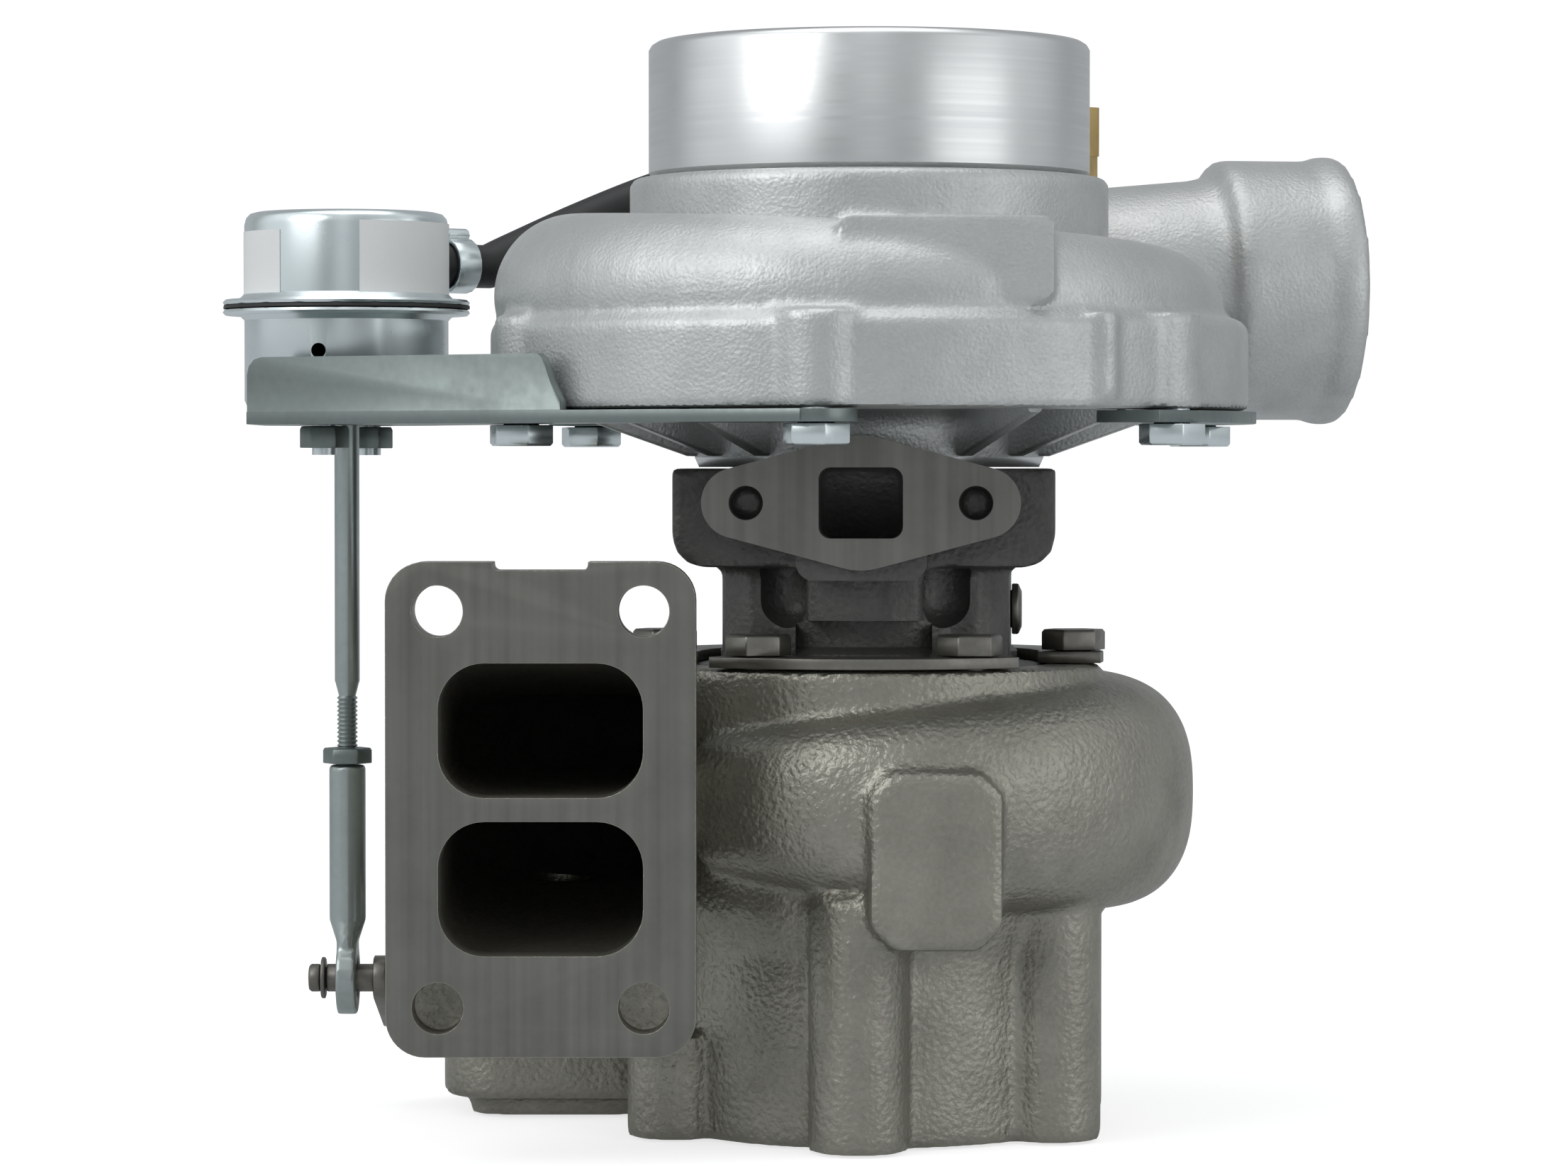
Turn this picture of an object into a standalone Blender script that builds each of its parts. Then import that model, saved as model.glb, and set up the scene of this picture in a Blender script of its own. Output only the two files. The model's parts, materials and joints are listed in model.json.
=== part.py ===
"""Twin-entry turbocharger with an internal wastegate, built piece by piece.

Everything is in metres with +Z up. The shaft is vertical and the part stands on the
turbine outlet face. The origin is the middle of the turbine inlet flange, on its face.
All heights inside the script are measured up the shaft from the turbine outlet face.
"""
import math

import bmesh
import bpy
from mathutils import Matrix, Vector

# Fits
GAP = 0.0003
WELD = 0.000001
RELIEF = 0.0002
TIP_CLEARANCE = 0.0006
PIVOT_CLEARANCE = 0.0011

# Facet counts
ROUND_STEPS = 28
SHAFT_STEPS = 16
SMALL_STEPS = 10
HALF_STEP = math.pi / ROUND_STEPS

# Turbine housing
HOUSING_HEIGHT = 0.106
HOUSING_TOP_RADIUS = 0.053
OUTLET_BODY_RADIUS = 0.0475
OUTLET_BORE_RADIUS = 0.040
OUTLET_BOSS_RADIUS = 0.011
OUTLET_BOSS_CIRCLE = 0.049
OUTLET_BOSS_RISE = 0.008
OUTLET_BOSS_CLOCK = math.radians(-3.7)
OUTLET_STUD_RADIUS = 0.0043
OUTLET_STUD_DEPTH = 0.018
SHORT_BOSS_HEIGHT = 0.0235
SCROLL_ROOF = 0.0010
SCROLL_WALL = 0.0062
SCROLL_HALF_HEIGHT = 0.0285
SCROLL_TAIL_HALF_HEIGHT = 0.016
SCROLL_HALF_WIDTH = 0.029
SCROLL_TAIL_HALF_WIDTH = 0.014
SCROLL_TAIL_RADIUS = 0.045
SCROLL_SWEEP = math.radians(315)
DIVIDER = 0.0052
NOZZLE_WIDTH = 0.014
CENTER_SPIGOT_DEPTH = 0.0053

# Turbine inlet flange, whose face holds the origin
TURBINE_INLET_X = -0.072
TURBINE_INLET_Y = -0.075
TURBINE_INLET_RISE = 0.0005
INLET_FLANGE_WIDTH = 0.067
INLET_FLANGE_HEIGHT = 0.107
INLET_FLANGE_THICKNESS = 0.0145
INLET_FLANGE_CORNER = 0.0085
INLET_FLANGE_BULGE = 0.0012
INLET_NOTCH_WIDTH = 0.0205
INLET_NOTCH_DEPTH = 0.0018
INLET_HOLE_RADIUS = 0.00555
INLET_HOLE_SPACING_X = 0.0445
INLET_HOLE_SPACING_Z = 0.0857
INLET_BLIND_DEPTH = 0.009
PORT_WIDTH = 0.0442
PORT_HEIGHT = 0.029
PORT_CORNER = 0.010

# Raised pad on the front of the turbine housing
FRONT_PAD_X = 0.0136
FRONT_PAD_WIDTH = 0.0288
FRONT_PAD_RISE = 0.0081
FRONT_PAD_LENGTH = 0.0391
FRONT_PAD_Y = -0.0665

# Wastegate chamber, shaft and flap
WASTEGATE_Y = 0.044
CHAMBER_LEFT = -0.099
CHAMBER_RIGHT = -0.044
CHAMBER_BACK = 0.062
CHAMBER_RISE = 0.004
CHAMBER_ROOF = 0.0128
CHAMBER_CORNER = 0.014
CHAMBER_WALL = 0.0048
CHAMBER_RIM_HEIGHT = 0.0032
CHAMBER_RIM_INSET = 0.0062
FLAP_ARM = 0.0165
FLAP_RADIUS = 0.0105
FLAP_THICKNESS = 0.0036
FLAP_LIFT = 0.0137
FLAP_SWING_CLEARANCE = 0.0013
BYPASS_RADIUS = 0.0085
WASTEGATE_SHAFT_RADIUS = 0.0040
BUSH_WALL = 0.0019
BUSH_OUTER_X = -0.1072
BUSH_LENGTH = 0.0135
BUSH_BOSS_WALL = 0.0036
BUSH_PROUD = 0.0012

# Turbine clamp plates and bolts
TURBINE_BOLT_CIRCLE = 0.0469
TURBINE_BOLT_CLOCK = math.radians(-32.5)
TURBINE_PLATE_THICKNESS = 0.0025
TURBINE_PLATE_OVERHANG = 0.0008
TURBINE_PLATE_CLEARANCE = 0.0007
SPIGOT_WALL = 0.0013
TURBINE_PLATE_HALF_ANGLE = math.radians(40)
TURBINE_BOLT_GRIP = 0.0145

# Fasteners
BOLT_RADIUS = 0.0040
BOLT_HEAD_FLATS = 0.0130
BOLT_HEAD_HEIGHT = 0.0047
BOLT_COUNT = 6

# Centre housing
CENTER_HEIGHT = 0.0446
CENTER_CLOCK = math.radians(-3)
CENTER_BLOCK_WIDTH = 0.0855
CENTER_BLOCK_DEPTH = 0.072
CENTER_BLOCK_HEIGHT = 0.0221
CENTER_BLOCK_CORNER = 0.007
CENTER_LEG_RADIUS = 0.0385
CENTER_LEG_HALF_WIDTH = 0.0325
CENTER_SCALLOP_RADIUS = 0.0125
CENTER_NECK_RADIUS = 0.031
DRAIN_FACE_Y = -0.050
DRAIN_FLANGE_THICKNESS = 0.0085
DRAIN_FLANGE_WIDTH = 0.0705
DRAIN_FLANGE_HEIGHT = 0.0297
DRAIN_FLANGE_EAR = 0.0078
DRAIN_DROP = 0.0076
DRAIN_PORT_WIDTH = 0.0186
DRAIN_PORT_HEIGHT = 0.0157
DRAIN_PORT_CORNER = 0.0026
DRAIN_HOLE_SPACING = 0.0507
DRAIN_HOLE_RADIUS = 0.0038
DRAIN_HOLE_DEPTH = 0.007
OIL_INLET_FACE_Y = 0.0455
OIL_INLET_BOSS_RADIUS = 0.0125
OIL_INLET_RADIUS = 0.0052
OIL_INLET_DEPTH = 0.014
OIL_FEED_RADIUS = 0.0018
OIL_GALLERY_RADIUS = 0.0150
PLUG_RADIUS = 0.0042
PLUG_HEAD_RADIUS = 0.0058

# Rotor and bearings
JOURNAL_RADIUS = 0.0055
STUB_RADIUS = 0.0040
RUNNING_GAP = 0.0003
BEARING_WALL = 0.0024
BEARING_LENGTH = 0.0085
BEARING_RISE = 0.003
BEARING_PITCH = 0.0255
SEAL_HUB_RADIUS = 0.0082
SEAL_RING_WIDTH = 0.0016
SEAL_RING_DEPTH = 0.0015
TURBINE_TIP_RADIUS = 0.038
TURBINE_TIP_WIDTH = 0.0145
TURBINE_TIP_DROP = 0.0030
TURBINE_EXDUCER_RADIUS = 0.0333
TURBINE_HUB_RADIUS = 0.0095
TURBINE_WHEEL_LENGTH = 0.042
TURBINE_BLADES = 11
HEAT_SHIELD_THICKNESS = 0.0012
HEAT_SHIELD_DEPTH = 0.008
THRUST_COLLAR_RADIUS = 0.0095
THRUST_NECK_RADIUS = 0.0070
THRUST_BEARING_RADIUS = 0.0172
THRUST_BEARING_THICKNESS = 0.0026
THRUST_FLANGE = 0.0014
SLINGER_RADIUS = 0.0112
O_RING_RADIUS = 0.0345
O_RING_WIRE = 0.0022

# Compressor wheel
WHEEL_RADIUS = 0.043
WHEEL_INDUCER_RADIUS = 0.031
WHEEL_HUB_RADIUS = 0.009
WHEEL_HEIGHT = 0.0315
WHEEL_NOSE = 0.0030
WHEEL_EXIT_WIDTH = 0.0052
WHEEL_BACK_RIM = 0.0017
WHEEL_BLADES = 14
WHEEL_NUT_FLATS = 0.0120
WHEEL_NUT_HEIGHT = 0.0075
SHAFT_END_STICK_OUT = 0.0045

# Compressor backplate
BACKPLATE_HUB_RADIUS = 0.040
BACKPLATE_HUB_HEIGHT = 0.0125
BACKPLATE_RIM = 0.0055
BACKPLATE_RIBS = 16
BACKPLATE_RIB_WIDTH = 0.0036
WHEEL_RECESS = 0.0021
DIFFUSER_REACH = 0.004

# Compressor cover
COVER_FLANGE_RADIUS = 0.0867
COVER_FLANGE_HEIGHT = 0.0206
COVER_SEAT_LIP = 0.0084
COVER_BOSS_RADIUS = 0.011
COVER_BOSS_REACH = 0.0030
COVER_BOLT_INSET = 0.0027
COVER_BOLT_CLOCK = math.radians(-8.6)
COVER_BOLT_DEPTH = 0.0125
COVER_RIB_ANGLE = math.radians(35.3)
COVER_RIB_RADIUS = 0.0042
INLET_RADIUS = 0.0505
INLET_WALL = 0.0048
INLET_LENGTH = 0.031
INLET_CHAMFER = 0.0018
COLLAR_RADIUS = 0.0548
COLLAR_HEIGHT = 0.0325
VOLUTE_RADIUS = 0.067
VOLUTE_WALL = 0.004
VOLUTE_TONGUE_SECTION = 0.0120
VOLUTE_END_SECTION = 0.0208
VOLUTE_FLOOR = 0.0073
VOLUTE_SWEEP = math.radians(305)
OUTLET_SKEW = math.radians(10)
OUTLET_NECK_LENGTH = 0.0963
OUTLET_NECK_RADIUS = 0.0272
OUTLET_TUBE_RADIUS = 0.03175
OUTLET_TUBE_LENGTH = 0.0335
OUTLET_TUBE_WALL = 0.0040
OUTLET_RISE = 0.0024
OUTLET_BEAD = 0.0011
OUTLET_BEAD_WIDTH = 0.0075
COVER_PAD_X = 0.0155
COVER_PAD_WIDTH = 0.0464
COVER_PAD_FACE_Y = -0.0785
COVER_PAD_TOP = 0.0413
COVER_PAD_HEIGHT = 0.0185
COVER_PLATE_THICKNESS = 0.0027
COVER_PLATE_HALF_ANGLE = math.radians(37)
COVER_PLATE_WIDTH = 0.0185
COVER_PLATE_OVERHANG = 0.002

# Boost actuator
ACTUATOR_X = -0.121
ACTUATOR_Y = 0.014
CAN_RADIUS = 0.0236
CAN_RIM_RADIUS = 0.0286
CAN_SHEET = 0.0012
UPPER_CAN_HEIGHT = 0.0212
LOWER_CAN_HEIGHT = 0.0235
CAN_TOP_CORNER = 0.0026
DIAPHRAGM = 0.0008
PISTON_RADIUS = 0.0160
PISTON_SKIRT = 0.0045
SPRING_RADIUS = 0.0115
SPRING_WIRE = 0.0021
SPRING_TURNS = 4
STUD_RADIUS = 0.0030
STUD_OFFSET = 0.0150
STUD_ANGLE = math.radians(75)
STUD_NUT_FLATS = 0.0100
STUD_NUT_HEIGHT = 0.0050
VENT_RADIUS = 0.0020
VENT_HEIGHT = 0.0105
BRACKET_SHEET = 0.0028
BRACKET_FLANGE_HEIGHT = 0.0122
BRACKET_PAD = 0.0205
BRACKET_FRONT = 0.0275
BRACKET_BACK = 0.012
BRACKET_EAR = 0.0090
BRACKET_EDGE_CLEARANCE = 0.0012
BRACKET_EDGE_SLOPE = 0.0062
NIPPLE_ANGLE = math.radians(38)
NIPPLE_RADIUS = 0.0031
NIPPLE_LENGTH = 0.0145
NIPPLE_DROP = 0.0115
ROD_RADIUS = 0.0029
ROD_THREAD_RADIUS = 0.00235
ROD_THREAD_SHOWN = 0.0150
LOCK_NUT_FLATS = 0.0100
LOCK_NUT_HEIGHT = 0.0036
ROD_END_RADIUS = 0.0043
ROD_END_LENGTH = 0.0390
EYE_THICKNESS = 0.0050
EYE_RADIUS = 0.0085
EYE_NECK = 0.0022
PIN_RADIUS = 0.00325
PIN_OUTBOARD = 0.0090
PIN_RISE = 0.0066
LEVER_THICKNESS = 0.0030
LEVER_SETOFF = 0.0036
LEVER_EAR = 0.0080
PIN_EAR = 0.0052
PIN_CLIP_WIRE = 0.0010

# Boost hose and its fittings
HOSE_RADIUS = 0.0052
CLIP_BAND = 0.0010
CLIP_WIDTH = 0.0062
FITTING_ANGLE = math.radians(38)
FITTING_RADIUS_OUT = 0.0605
FITTING_FLATS = 0.0120
FITTING_BASE_HEIGHT = 0.0075
FITTING_BLOCK = 0.0115
FITTING_BOSS_RADIUS = 0.0085
FITTING_SPIGOT_RADIUS = 0.0033
CLIP_SETBACK = 0.0035
# Bends of the hose: x, y and the rise over the collar
HOSE_BENDS = ((0.004, 0.0650, 0.0122), (-0.022, 0.0640, 0.0077), (-0.046, 0.0590, 0.0012),
              (-0.067, 0.0520, -0.0073))

# Heights up the shaft that follow from the sizes above
SCROLL_HEIGHT = HOUSING_HEIGHT - SCROLL_HALF_HEIGHT - SCROLL_ROOF
SCROLL_LOW_Z = SCROLL_HEIGHT - SCROLL_HALF_HEIGHT
TURBINE_INLET_Z = SCROLL_HEIGHT + TURBINE_INLET_RISE
OUTLET_BOSS_HEIGHT = SCROLL_LOW_Z + OUTLET_BOSS_RISE
FRONT_PAD_TOP = SCROLL_HEIGHT + FRONT_PAD_RISE
FRONT_PAD_BOTTOM = FRONT_PAD_TOP - FRONT_PAD_LENGTH
CHAMBER_TOP = SCROLL_LOW_Z + CHAMBER_RISE
FLAP_SEAT_Z = CHAMBER_TOP - CHAMBER_ROOF
WASTEGATE_Z = FLAP_SEAT_Z - FLAP_LIFT
LOWER_BEARING_Z = HOUSING_HEIGHT + BEARING_RISE
CENTER_TOP_Z = HOUSING_HEIGHT + CENTER_HEIGHT
CENTER_BASE_Z = HOUSING_HEIGHT - CENTER_SPIGOT_DEPTH
SHIELD_TOP_Z = CENTER_BASE_Z - GAP
SPIGOT_FLOOR_Z = SHIELD_TOP_Z - HEAT_SHIELD_THICKNESS - GAP
TURBINE_BACK_Z = SHIELD_TOP_Z - HEAT_SHIELD_DEPTH - HEAT_SHIELD_THICKNESS - TIP_CLEARANCE
TURBINE_TIP_Z = TURBINE_BACK_Z - TURBINE_TIP_DROP
TURBINE_NOSE_Z = TURBINE_BACK_Z - TURBINE_WHEEL_LENGTH
BACKPLATE_Z = CENTER_TOP_Z + GAP
COVER_Z = BACKPLATE_Z + BACKPLATE_HUB_HEIGHT + GAP
DIFFUSER_Z = COVER_Z + BACKPLATE_RIM
COVER_FLANGE_TOP_Z = COVER_Z + COVER_FLANGE_HEIGHT
COLLAR_TOP_Z = COVER_FLANGE_TOP_Z + COLLAR_HEIGHT
INLET_TOP_Z = COLLAR_TOP_Z + INLET_LENGTH
PLATE_TOP_Z = COVER_Z - GAP
THRUST_Z = CENTER_TOP_Z - THRUST_BEARING_THICKNESS
COLLAR_Z = THRUST_Z - RUNNING_GAP - THRUST_FLANGE
SLINGER_Z = BACKPLATE_Z + RUNNING_GAP
WHEEL_BACK_Z = DIFFUSER_Z - WHEEL_RECESS + TIP_CLEARANCE
WHEEL_RIM_Z = WHEEL_BACK_Z + WHEEL_BACK_RIM
WHEEL_TIP_Z = WHEEL_RIM_Z + WHEEL_EXIT_WIDTH
WHEEL_TOP_Z = WHEEL_BACK_Z + WHEEL_HEIGHT
WHEEL_NUT_Z = WHEEL_TOP_Z + WHEEL_NOSE + GAP
SHAFT_END_Z = WHEEL_NUT_Z + WHEEL_NUT_HEIGHT + SHAFT_END_STICK_OUT
CAN_RIM_Z = COVER_Z + LOWER_CAN_HEIGHT
UPPER_RIM_Z = CAN_RIM_Z + DIAPHRAGM + 2 * GAP
CAN_TOP_Z = UPPER_RIM_Z + UPPER_CAN_HEIGHT
BRACKET_Z = PLATE_TOP_Z - BRACKET_SHEET
PISTON_TOP_Z = CAN_RIM_Z
PIN_Z = WASTEGATE_Z + PIN_RISE
ROD_END_Z = PIN_Z + EYE_RADIUS + EYE_NECK
LOCK_NUT_Z = ROD_END_Z + ROD_END_LENGTH + GAP
THREAD_TOP_Z = LOCK_NUT_Z + LOCK_NUT_HEIGHT + ROD_THREAD_SHOWN
FITTING_Z = COLLAR_TOP_Z + GAP

# Radii that follow from the sizes above
BOLT_HOLE_RADIUS = BOLT_RADIUS + GAP
SPIGOT_RADIUS = TURBINE_BOLT_CIRCLE - BOLT_HOLE_RADIUS - SPIGOT_WALL
TURBINE_PLATE_INNER = CENTER_LEG_RADIUS + TURBINE_PLATE_CLEARANCE
CHAMBER_RADIUS = TURBINE_TIP_RADIUS + TIP_CLEARANCE
BEARING_BORE = JOURNAL_RADIUS + BEARING_WALL + 2 * RUNNING_GAP
SEAL_BORE = SEAL_HUB_RADIUS + RUNNING_GAP
COVER_BOLT_CIRCLE = COVER_FLANGE_RADIUS - COVER_BOLT_INSET
COVER_SEAT_RADIUS = COVER_FLANGE_RADIUS - COVER_SEAT_LIP
BACKPLATE_RADIUS = COVER_SEAT_RADIUS - GAP
DIFFUSER_RADIUS = VOLUTE_RADIUS + DIFFUSER_REACH
COVER_PLATE_RADIUS = COVER_FLANGE_RADIUS + COVER_PLATE_OVERHANG
FLAP_SWING_RADIUS = math.hypot(FLAP_ARM + FLAP_RADIUS, FLAP_LIFT)
CHAMBER_FRONT = WASTEGATE_Y - FLAP_SWING_RADIUS - FLAP_SWING_CLEARANCE - CHAMBER_WALL
HOSE_BORE = NIPPLE_RADIUS + 2 * GAP
FRONT = -math.pi / 2
VOLUTE_END_ANGLE = math.pi / 2 + OUTLET_SKEW
OUTLET_AXIS_Z = COVER_Z + VOLUTE_FLOOR + VOLUTE_END_SECTION + OUTLET_RISE
ROD_X = ACTUATOR_X
ROD_Y = ACTUATOR_Y
LEVER_X = ROD_X + EYE_THICKNESS / 2 + LEVER_SETOFF

FINISHES = {
    "cast_aluminium": ((0.60, 0.61, 0.61), 0.42, 0.85),
    "cast_iron": ((0.15, 0.145, 0.125), 0.55, 0.6),
    "dark_iron": ((0.17, 0.17, 0.165), 0.5, 0.6),
    "zinc": ((0.60, 0.64, 0.66), 0.32, 0.9),
    "dark_steel": ((0.20, 0.19, 0.17), 0.42, 0.85),
    "steel": ((0.52, 0.52, 0.50), 0.30, 0.95),
    "brass": ((0.70, 0.52, 0.22), 0.30, 0.9),
    "bronze": ((0.55, 0.38, 0.20), 0.35, 0.9),
    "rubber": ((0.02, 0.02, 0.02), 0.65, 0.0),
}


def start_scene():
    """Empty the scene and return the parent of all pieces, set on the shaft axis."""
    for old in list(bpy.data.objects):
        bpy.data.objects.remove(old, do_unlink=True)
    assembly = bpy.data.objects.new("assembly", None)
    bpy.context.scene.collection.objects.link(assembly)
    assembly.location = (-TURBINE_INLET_X, -TURBINE_INLET_Y, -TURBINE_INLET_Z)
    return assembly


def axis_empty(name, parent, place):
    """An empty on a joint's axis, which the moving pieces hang from."""
    empty = bpy.data.objects.new(name, None)
    bpy.context.scene.collection.objects.link(empty)
    empty.parent = parent
    empty.location = place
    return empty


def closed(bm):
    """Weld a mesh and turn its faces outwards."""
    bmesh.ops.remove_doubles(bm, verts=bm.verts, dist=WELD)
    bmesh.ops.recalc_face_normals(bm, faces=bm.faces)
    return bm


def add_object(name, bm, parent):
    """Put a mesh in the scene under a parent."""
    mesh = bpy.data.meshes.new(name)
    closed(bm).to_mesh(mesh)
    bm.free()
    mesh.shade_smooth()
    mesh.set_sharp_from_angle(angle=math.radians(32))
    obj = bpy.data.objects.new(name, mesh)
    bpy.context.scene.collection.objects.link(obj)
    obj.parent = parent
    return obj


def piece(name, bm, parent, finish):
    """A real piece of the turbocharger, with its own material."""
    obj = add_object(name, bm, parent)
    colour, roughness, metallic = FINISHES[finish]
    material = bpy.data.materials.new(name + "_" + finish)
    material.use_nodes = True
    shader = material.node_tree.nodes["Principled BSDF"]
    shader.inputs["Base Color"].default_value = (*colour, 1.0)
    shader.inputs["Roughness"].default_value = roughness
    shader.inputs["Metallic"].default_value = metallic
    obj.data.materials.append(material)
    return obj


def shape(target, operation, name, bm):
    """Add a form to a piece, or cut it away, with a Boolean and a hidden operand."""
    operand = add_object(target.name + "_" + name, bm, target.parent)
    operand.hide_render = True
    operand.display_type = "WIRE"
    modifier = target.modifiers.new(name, "BOOLEAN")
    modifier.operation = operation
    modifier.solver = "EXACT"
    modifier.object = operand
    return operand


def join(target, name, bm):
    """Fuse a form onto a piece."""
    return shape(target, "UNION", name, bm)


def cut(target, name, bm):
    """Cut a form out of a piece."""
    return shape(target, "DIFFERENCE", name, bm)


def moved(bm, offset):
    """Shift a mesh."""
    bmesh.ops.translate(bm, verts=bm.verts, vec=offset)
    return bm


def turned(bm, angle, axis="Z", centre=(0.0, 0.0, 0.0)):
    """Turn a mesh about an axis through a point."""
    bmesh.ops.rotate(bm, verts=bm.verts, cent=centre, matrix=Matrix.Rotation(angle, 3, axis))
    return bm


def polar(radius, angle, height=0.0):
    """A point at a radius and angle about the shaft."""
    return Vector((radius * math.cos(angle), radius * math.sin(angle), height))


def revolve(profile, steps=ROUND_STEPS):
    """Spin a profile of radius and height pairs; one that starts on the axis stays open there."""
    bm = bmesh.new()
    verts = [bm.verts.new((radius, 0.0, height)) for radius, height in profile]
    pairs = list(zip(verts, verts[1:]))
    if profile[0][0] > 0.0:
        pairs.append((verts[-1], verts[0]))
    edges = [bm.edges.new(pair) for pair in pairs]
    bmesh.ops.spin(bm, geom=verts + edges, axis=(0, 0, 1), cent=(0, 0, 0),
                   angle=2 * math.pi, steps=steps, use_merge=True)
    return closed(bm)


def prism(outline, bottom, top):
    """Extrude a flat outline between two heights."""
    bm = bmesh.new()
    face = bm.faces.new([bm.verts.new((x, y, bottom)) for x, y in outline])
    grown = bmesh.ops.extrude_face_region(bm, geom=[face])
    verts = [item for item in grown["geom"] if isinstance(item, bmesh.types.BMVert)]
    bmesh.ops.translate(bm, verts=verts, vec=(0, 0, top - bottom))
    return closed(bm)


def loft(rings, endless=False):
    """Skin a row of rings that have equal counts; cap both ends, or join them if endless."""
    bm = bmesh.new()
    rows = [[bm.verts.new(point) for point in ring] for ring in rings]
    for low, high in zip(rows, rows[1:] + rows[:1] if endless else rows[1:]):
        for index, vert in enumerate(low):
            after = (index + 1) % len(low)
            bm.faces.new((vert, low[after], high[after], high[index]))
    bmesh.ops.triangulate(bm, faces=bm.faces)
    if not endless:
        bm.faces.new(rows[0])
        bm.faces.new(rows[-1])
    return closed(bm)


def merged(meshes):
    """Gather several closed bodies that don't touch in one mesh."""
    whole = bmesh.new()
    for bm in meshes:
        mesh = bpy.data.meshes.new("body")
        bm.to_mesh(mesh)
        bm.free()
        whole.from_mesh(mesh)
        bpy.data.meshes.remove(mesh)
    return whole


def circle(radius, steps, centre=(0.0, 0.0), phase=0.0):
    """Points round a circle."""
    return [(centre[0] + radius * math.cos(phase + 2 * math.pi * step / steps),
             centre[1] + radius * math.sin(phase + 2 * math.pi * step / steps))
            for step in range(steps)]


def hexagon(flats, centre=(0.0, 0.0), phase=0.0):
    """A hexagon given by its width across flats."""
    return circle(flats / math.sqrt(3), 6, centre, phase)


def arc(centre, radius, start, end, steps):
    """Points along an arc, both ends included."""
    return [(centre[0] + radius * math.cos(start + (end - start) * step / steps),
             centre[1] + radius * math.sin(start + (end - start) * step / steps))
            for step in range(steps + 1)]


def rounded_rectangle(width, height, radius, steps=4, centre=(0.0, 0.0)):
    """A rectangle with round corners, from the lower right corner on."""
    points = []
    for quarter, (sx, sy) in enumerate(((1, -1), (1, 1), (-1, 1), (-1, -1))):
        middle = (centre[0] + sx * (width / 2 - radius), centre[1] + sy * (height / 2 - radius))
        start = -math.pi / 2 + quarter * math.pi / 2
        points += arc(middle, radius, start, start + math.pi / 2, steps)
    return points


def cylinder(radius, bottom, top, steps=SMALL_STEPS, centre=(0.0, 0.0)):
    """An upright round bar."""
    return prism(circle(radius, steps, centre), bottom, top)


def bar_x(radius, left, right, y, z, steps=SMALL_STEPS):
    """A round bar along X."""
    return moved(turned(cylinder(radius, left, right, steps), math.pi / 2, "Y"), (0, y, z))


def ring_of(radius_in, radius_out, bottom, top, steps=ROUND_STEPS):
    """A plain ring about the shaft."""
    return revolve([(radius_in, bottom), (radius_out, bottom), (radius_out, top), (radius_in, top)],
                   steps)


def hexagon_12(flats, height, shrink=1.0):
    """A hexagon with a point at each corner and at the middle of each flat."""
    corners = [Vector((*corner, height)) for corner in hexagon(flats * shrink)]
    points = []
    for corner, after in zip(corners, corners[1:] + corners[:1]):
        points += [corner, (corner + after) / 2]
    return points


def round_12(radius, height):
    """A ring of twelve points to match hexagon_12."""
    return [Vector((*point, height)) for point in circle(radius, 12)]


def hex_bolt(length, way):
    """A hex bolt with the underside of its head at zero; its shank runs up (1) or down (-1)."""
    top = -way * BOLT_HEAD_HEIGHT
    return loft([hexagon_12(BOLT_HEAD_FLATS, top, 0.92),
                 hexagon_12(BOLT_HEAD_FLATS, 0.86 * top),
                 hexagon_12(BOLT_HEAD_FLATS, 0.0),
                 round_12(BOLT_RADIUS, 0.0),
                 round_12(BOLT_RADIUS, way * length)])


def hex_nut(flats, height, hole):
    """A hex nut standing on zero."""
    return loft([hexagon_12(flats, 0.0), hexagon_12(flats, 0.85 * height),
                 hexagon_12(flats, height, 0.93), round_12(hole, height), round_12(hole, 0.0)],
                endless=True)


def sweep(points, radius, resolution=2):
    """A round tube along a row of points, made with a bevelled curve."""
    data = bpy.data.curves.new("path", "CURVE")
    data.dimensions = "3D"
    data.bevel_depth = radius
    data.bevel_resolution = resolution
    data.use_fill_caps = True
    spline = data.splines.new("POLY")
    spline.points.add(len(points) - 1)
    for target, point in zip(spline.points, points):
        target.co = (*point, 1.0)
    holder = bpy.data.objects.new("path", data)
    mesh = bpy.data.meshes.new_from_object(holder)
    bm = bmesh.new()
    bm.from_mesh(mesh)
    bpy.data.objects.remove(holder)
    bpy.data.meshes.remove(mesh)
    bpy.data.curves.remove(data)
    return closed(bm)


def smooth_route(points, per_span):
    """Points on a smooth curve through the route's own points."""
    route = [Vector(point) for point in points]
    padded = [2 * route[0] - route[1]] + route + [2 * route[-1] - route[-2]]
    curve = []
    for before, start, end, after in zip(padded, padded[1:], padded[2:], padded[3:]):
        for step in range(per_span):
            t = step / per_span
            curve.append(0.5 * (2 * start + (end - before) * t
                                + (2 * before - 5 * start + 4 * end - after) * t * t
                                + (3 * start - before - 3 * end + after) * t ** 3))
    return curve + [route[-1]]


def meridian(axial, radial, share):
    """A blade edge from its axial end to its radial end, as radius and height."""
    turn = share * math.pi / 2
    radius = axial[0] + (radial[0] - axial[0]) * (1 - math.cos(turn))
    height = radial[1] + (axial[1] - radial[1]) * (1 - math.sin(turn))
    return radius, height


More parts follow.
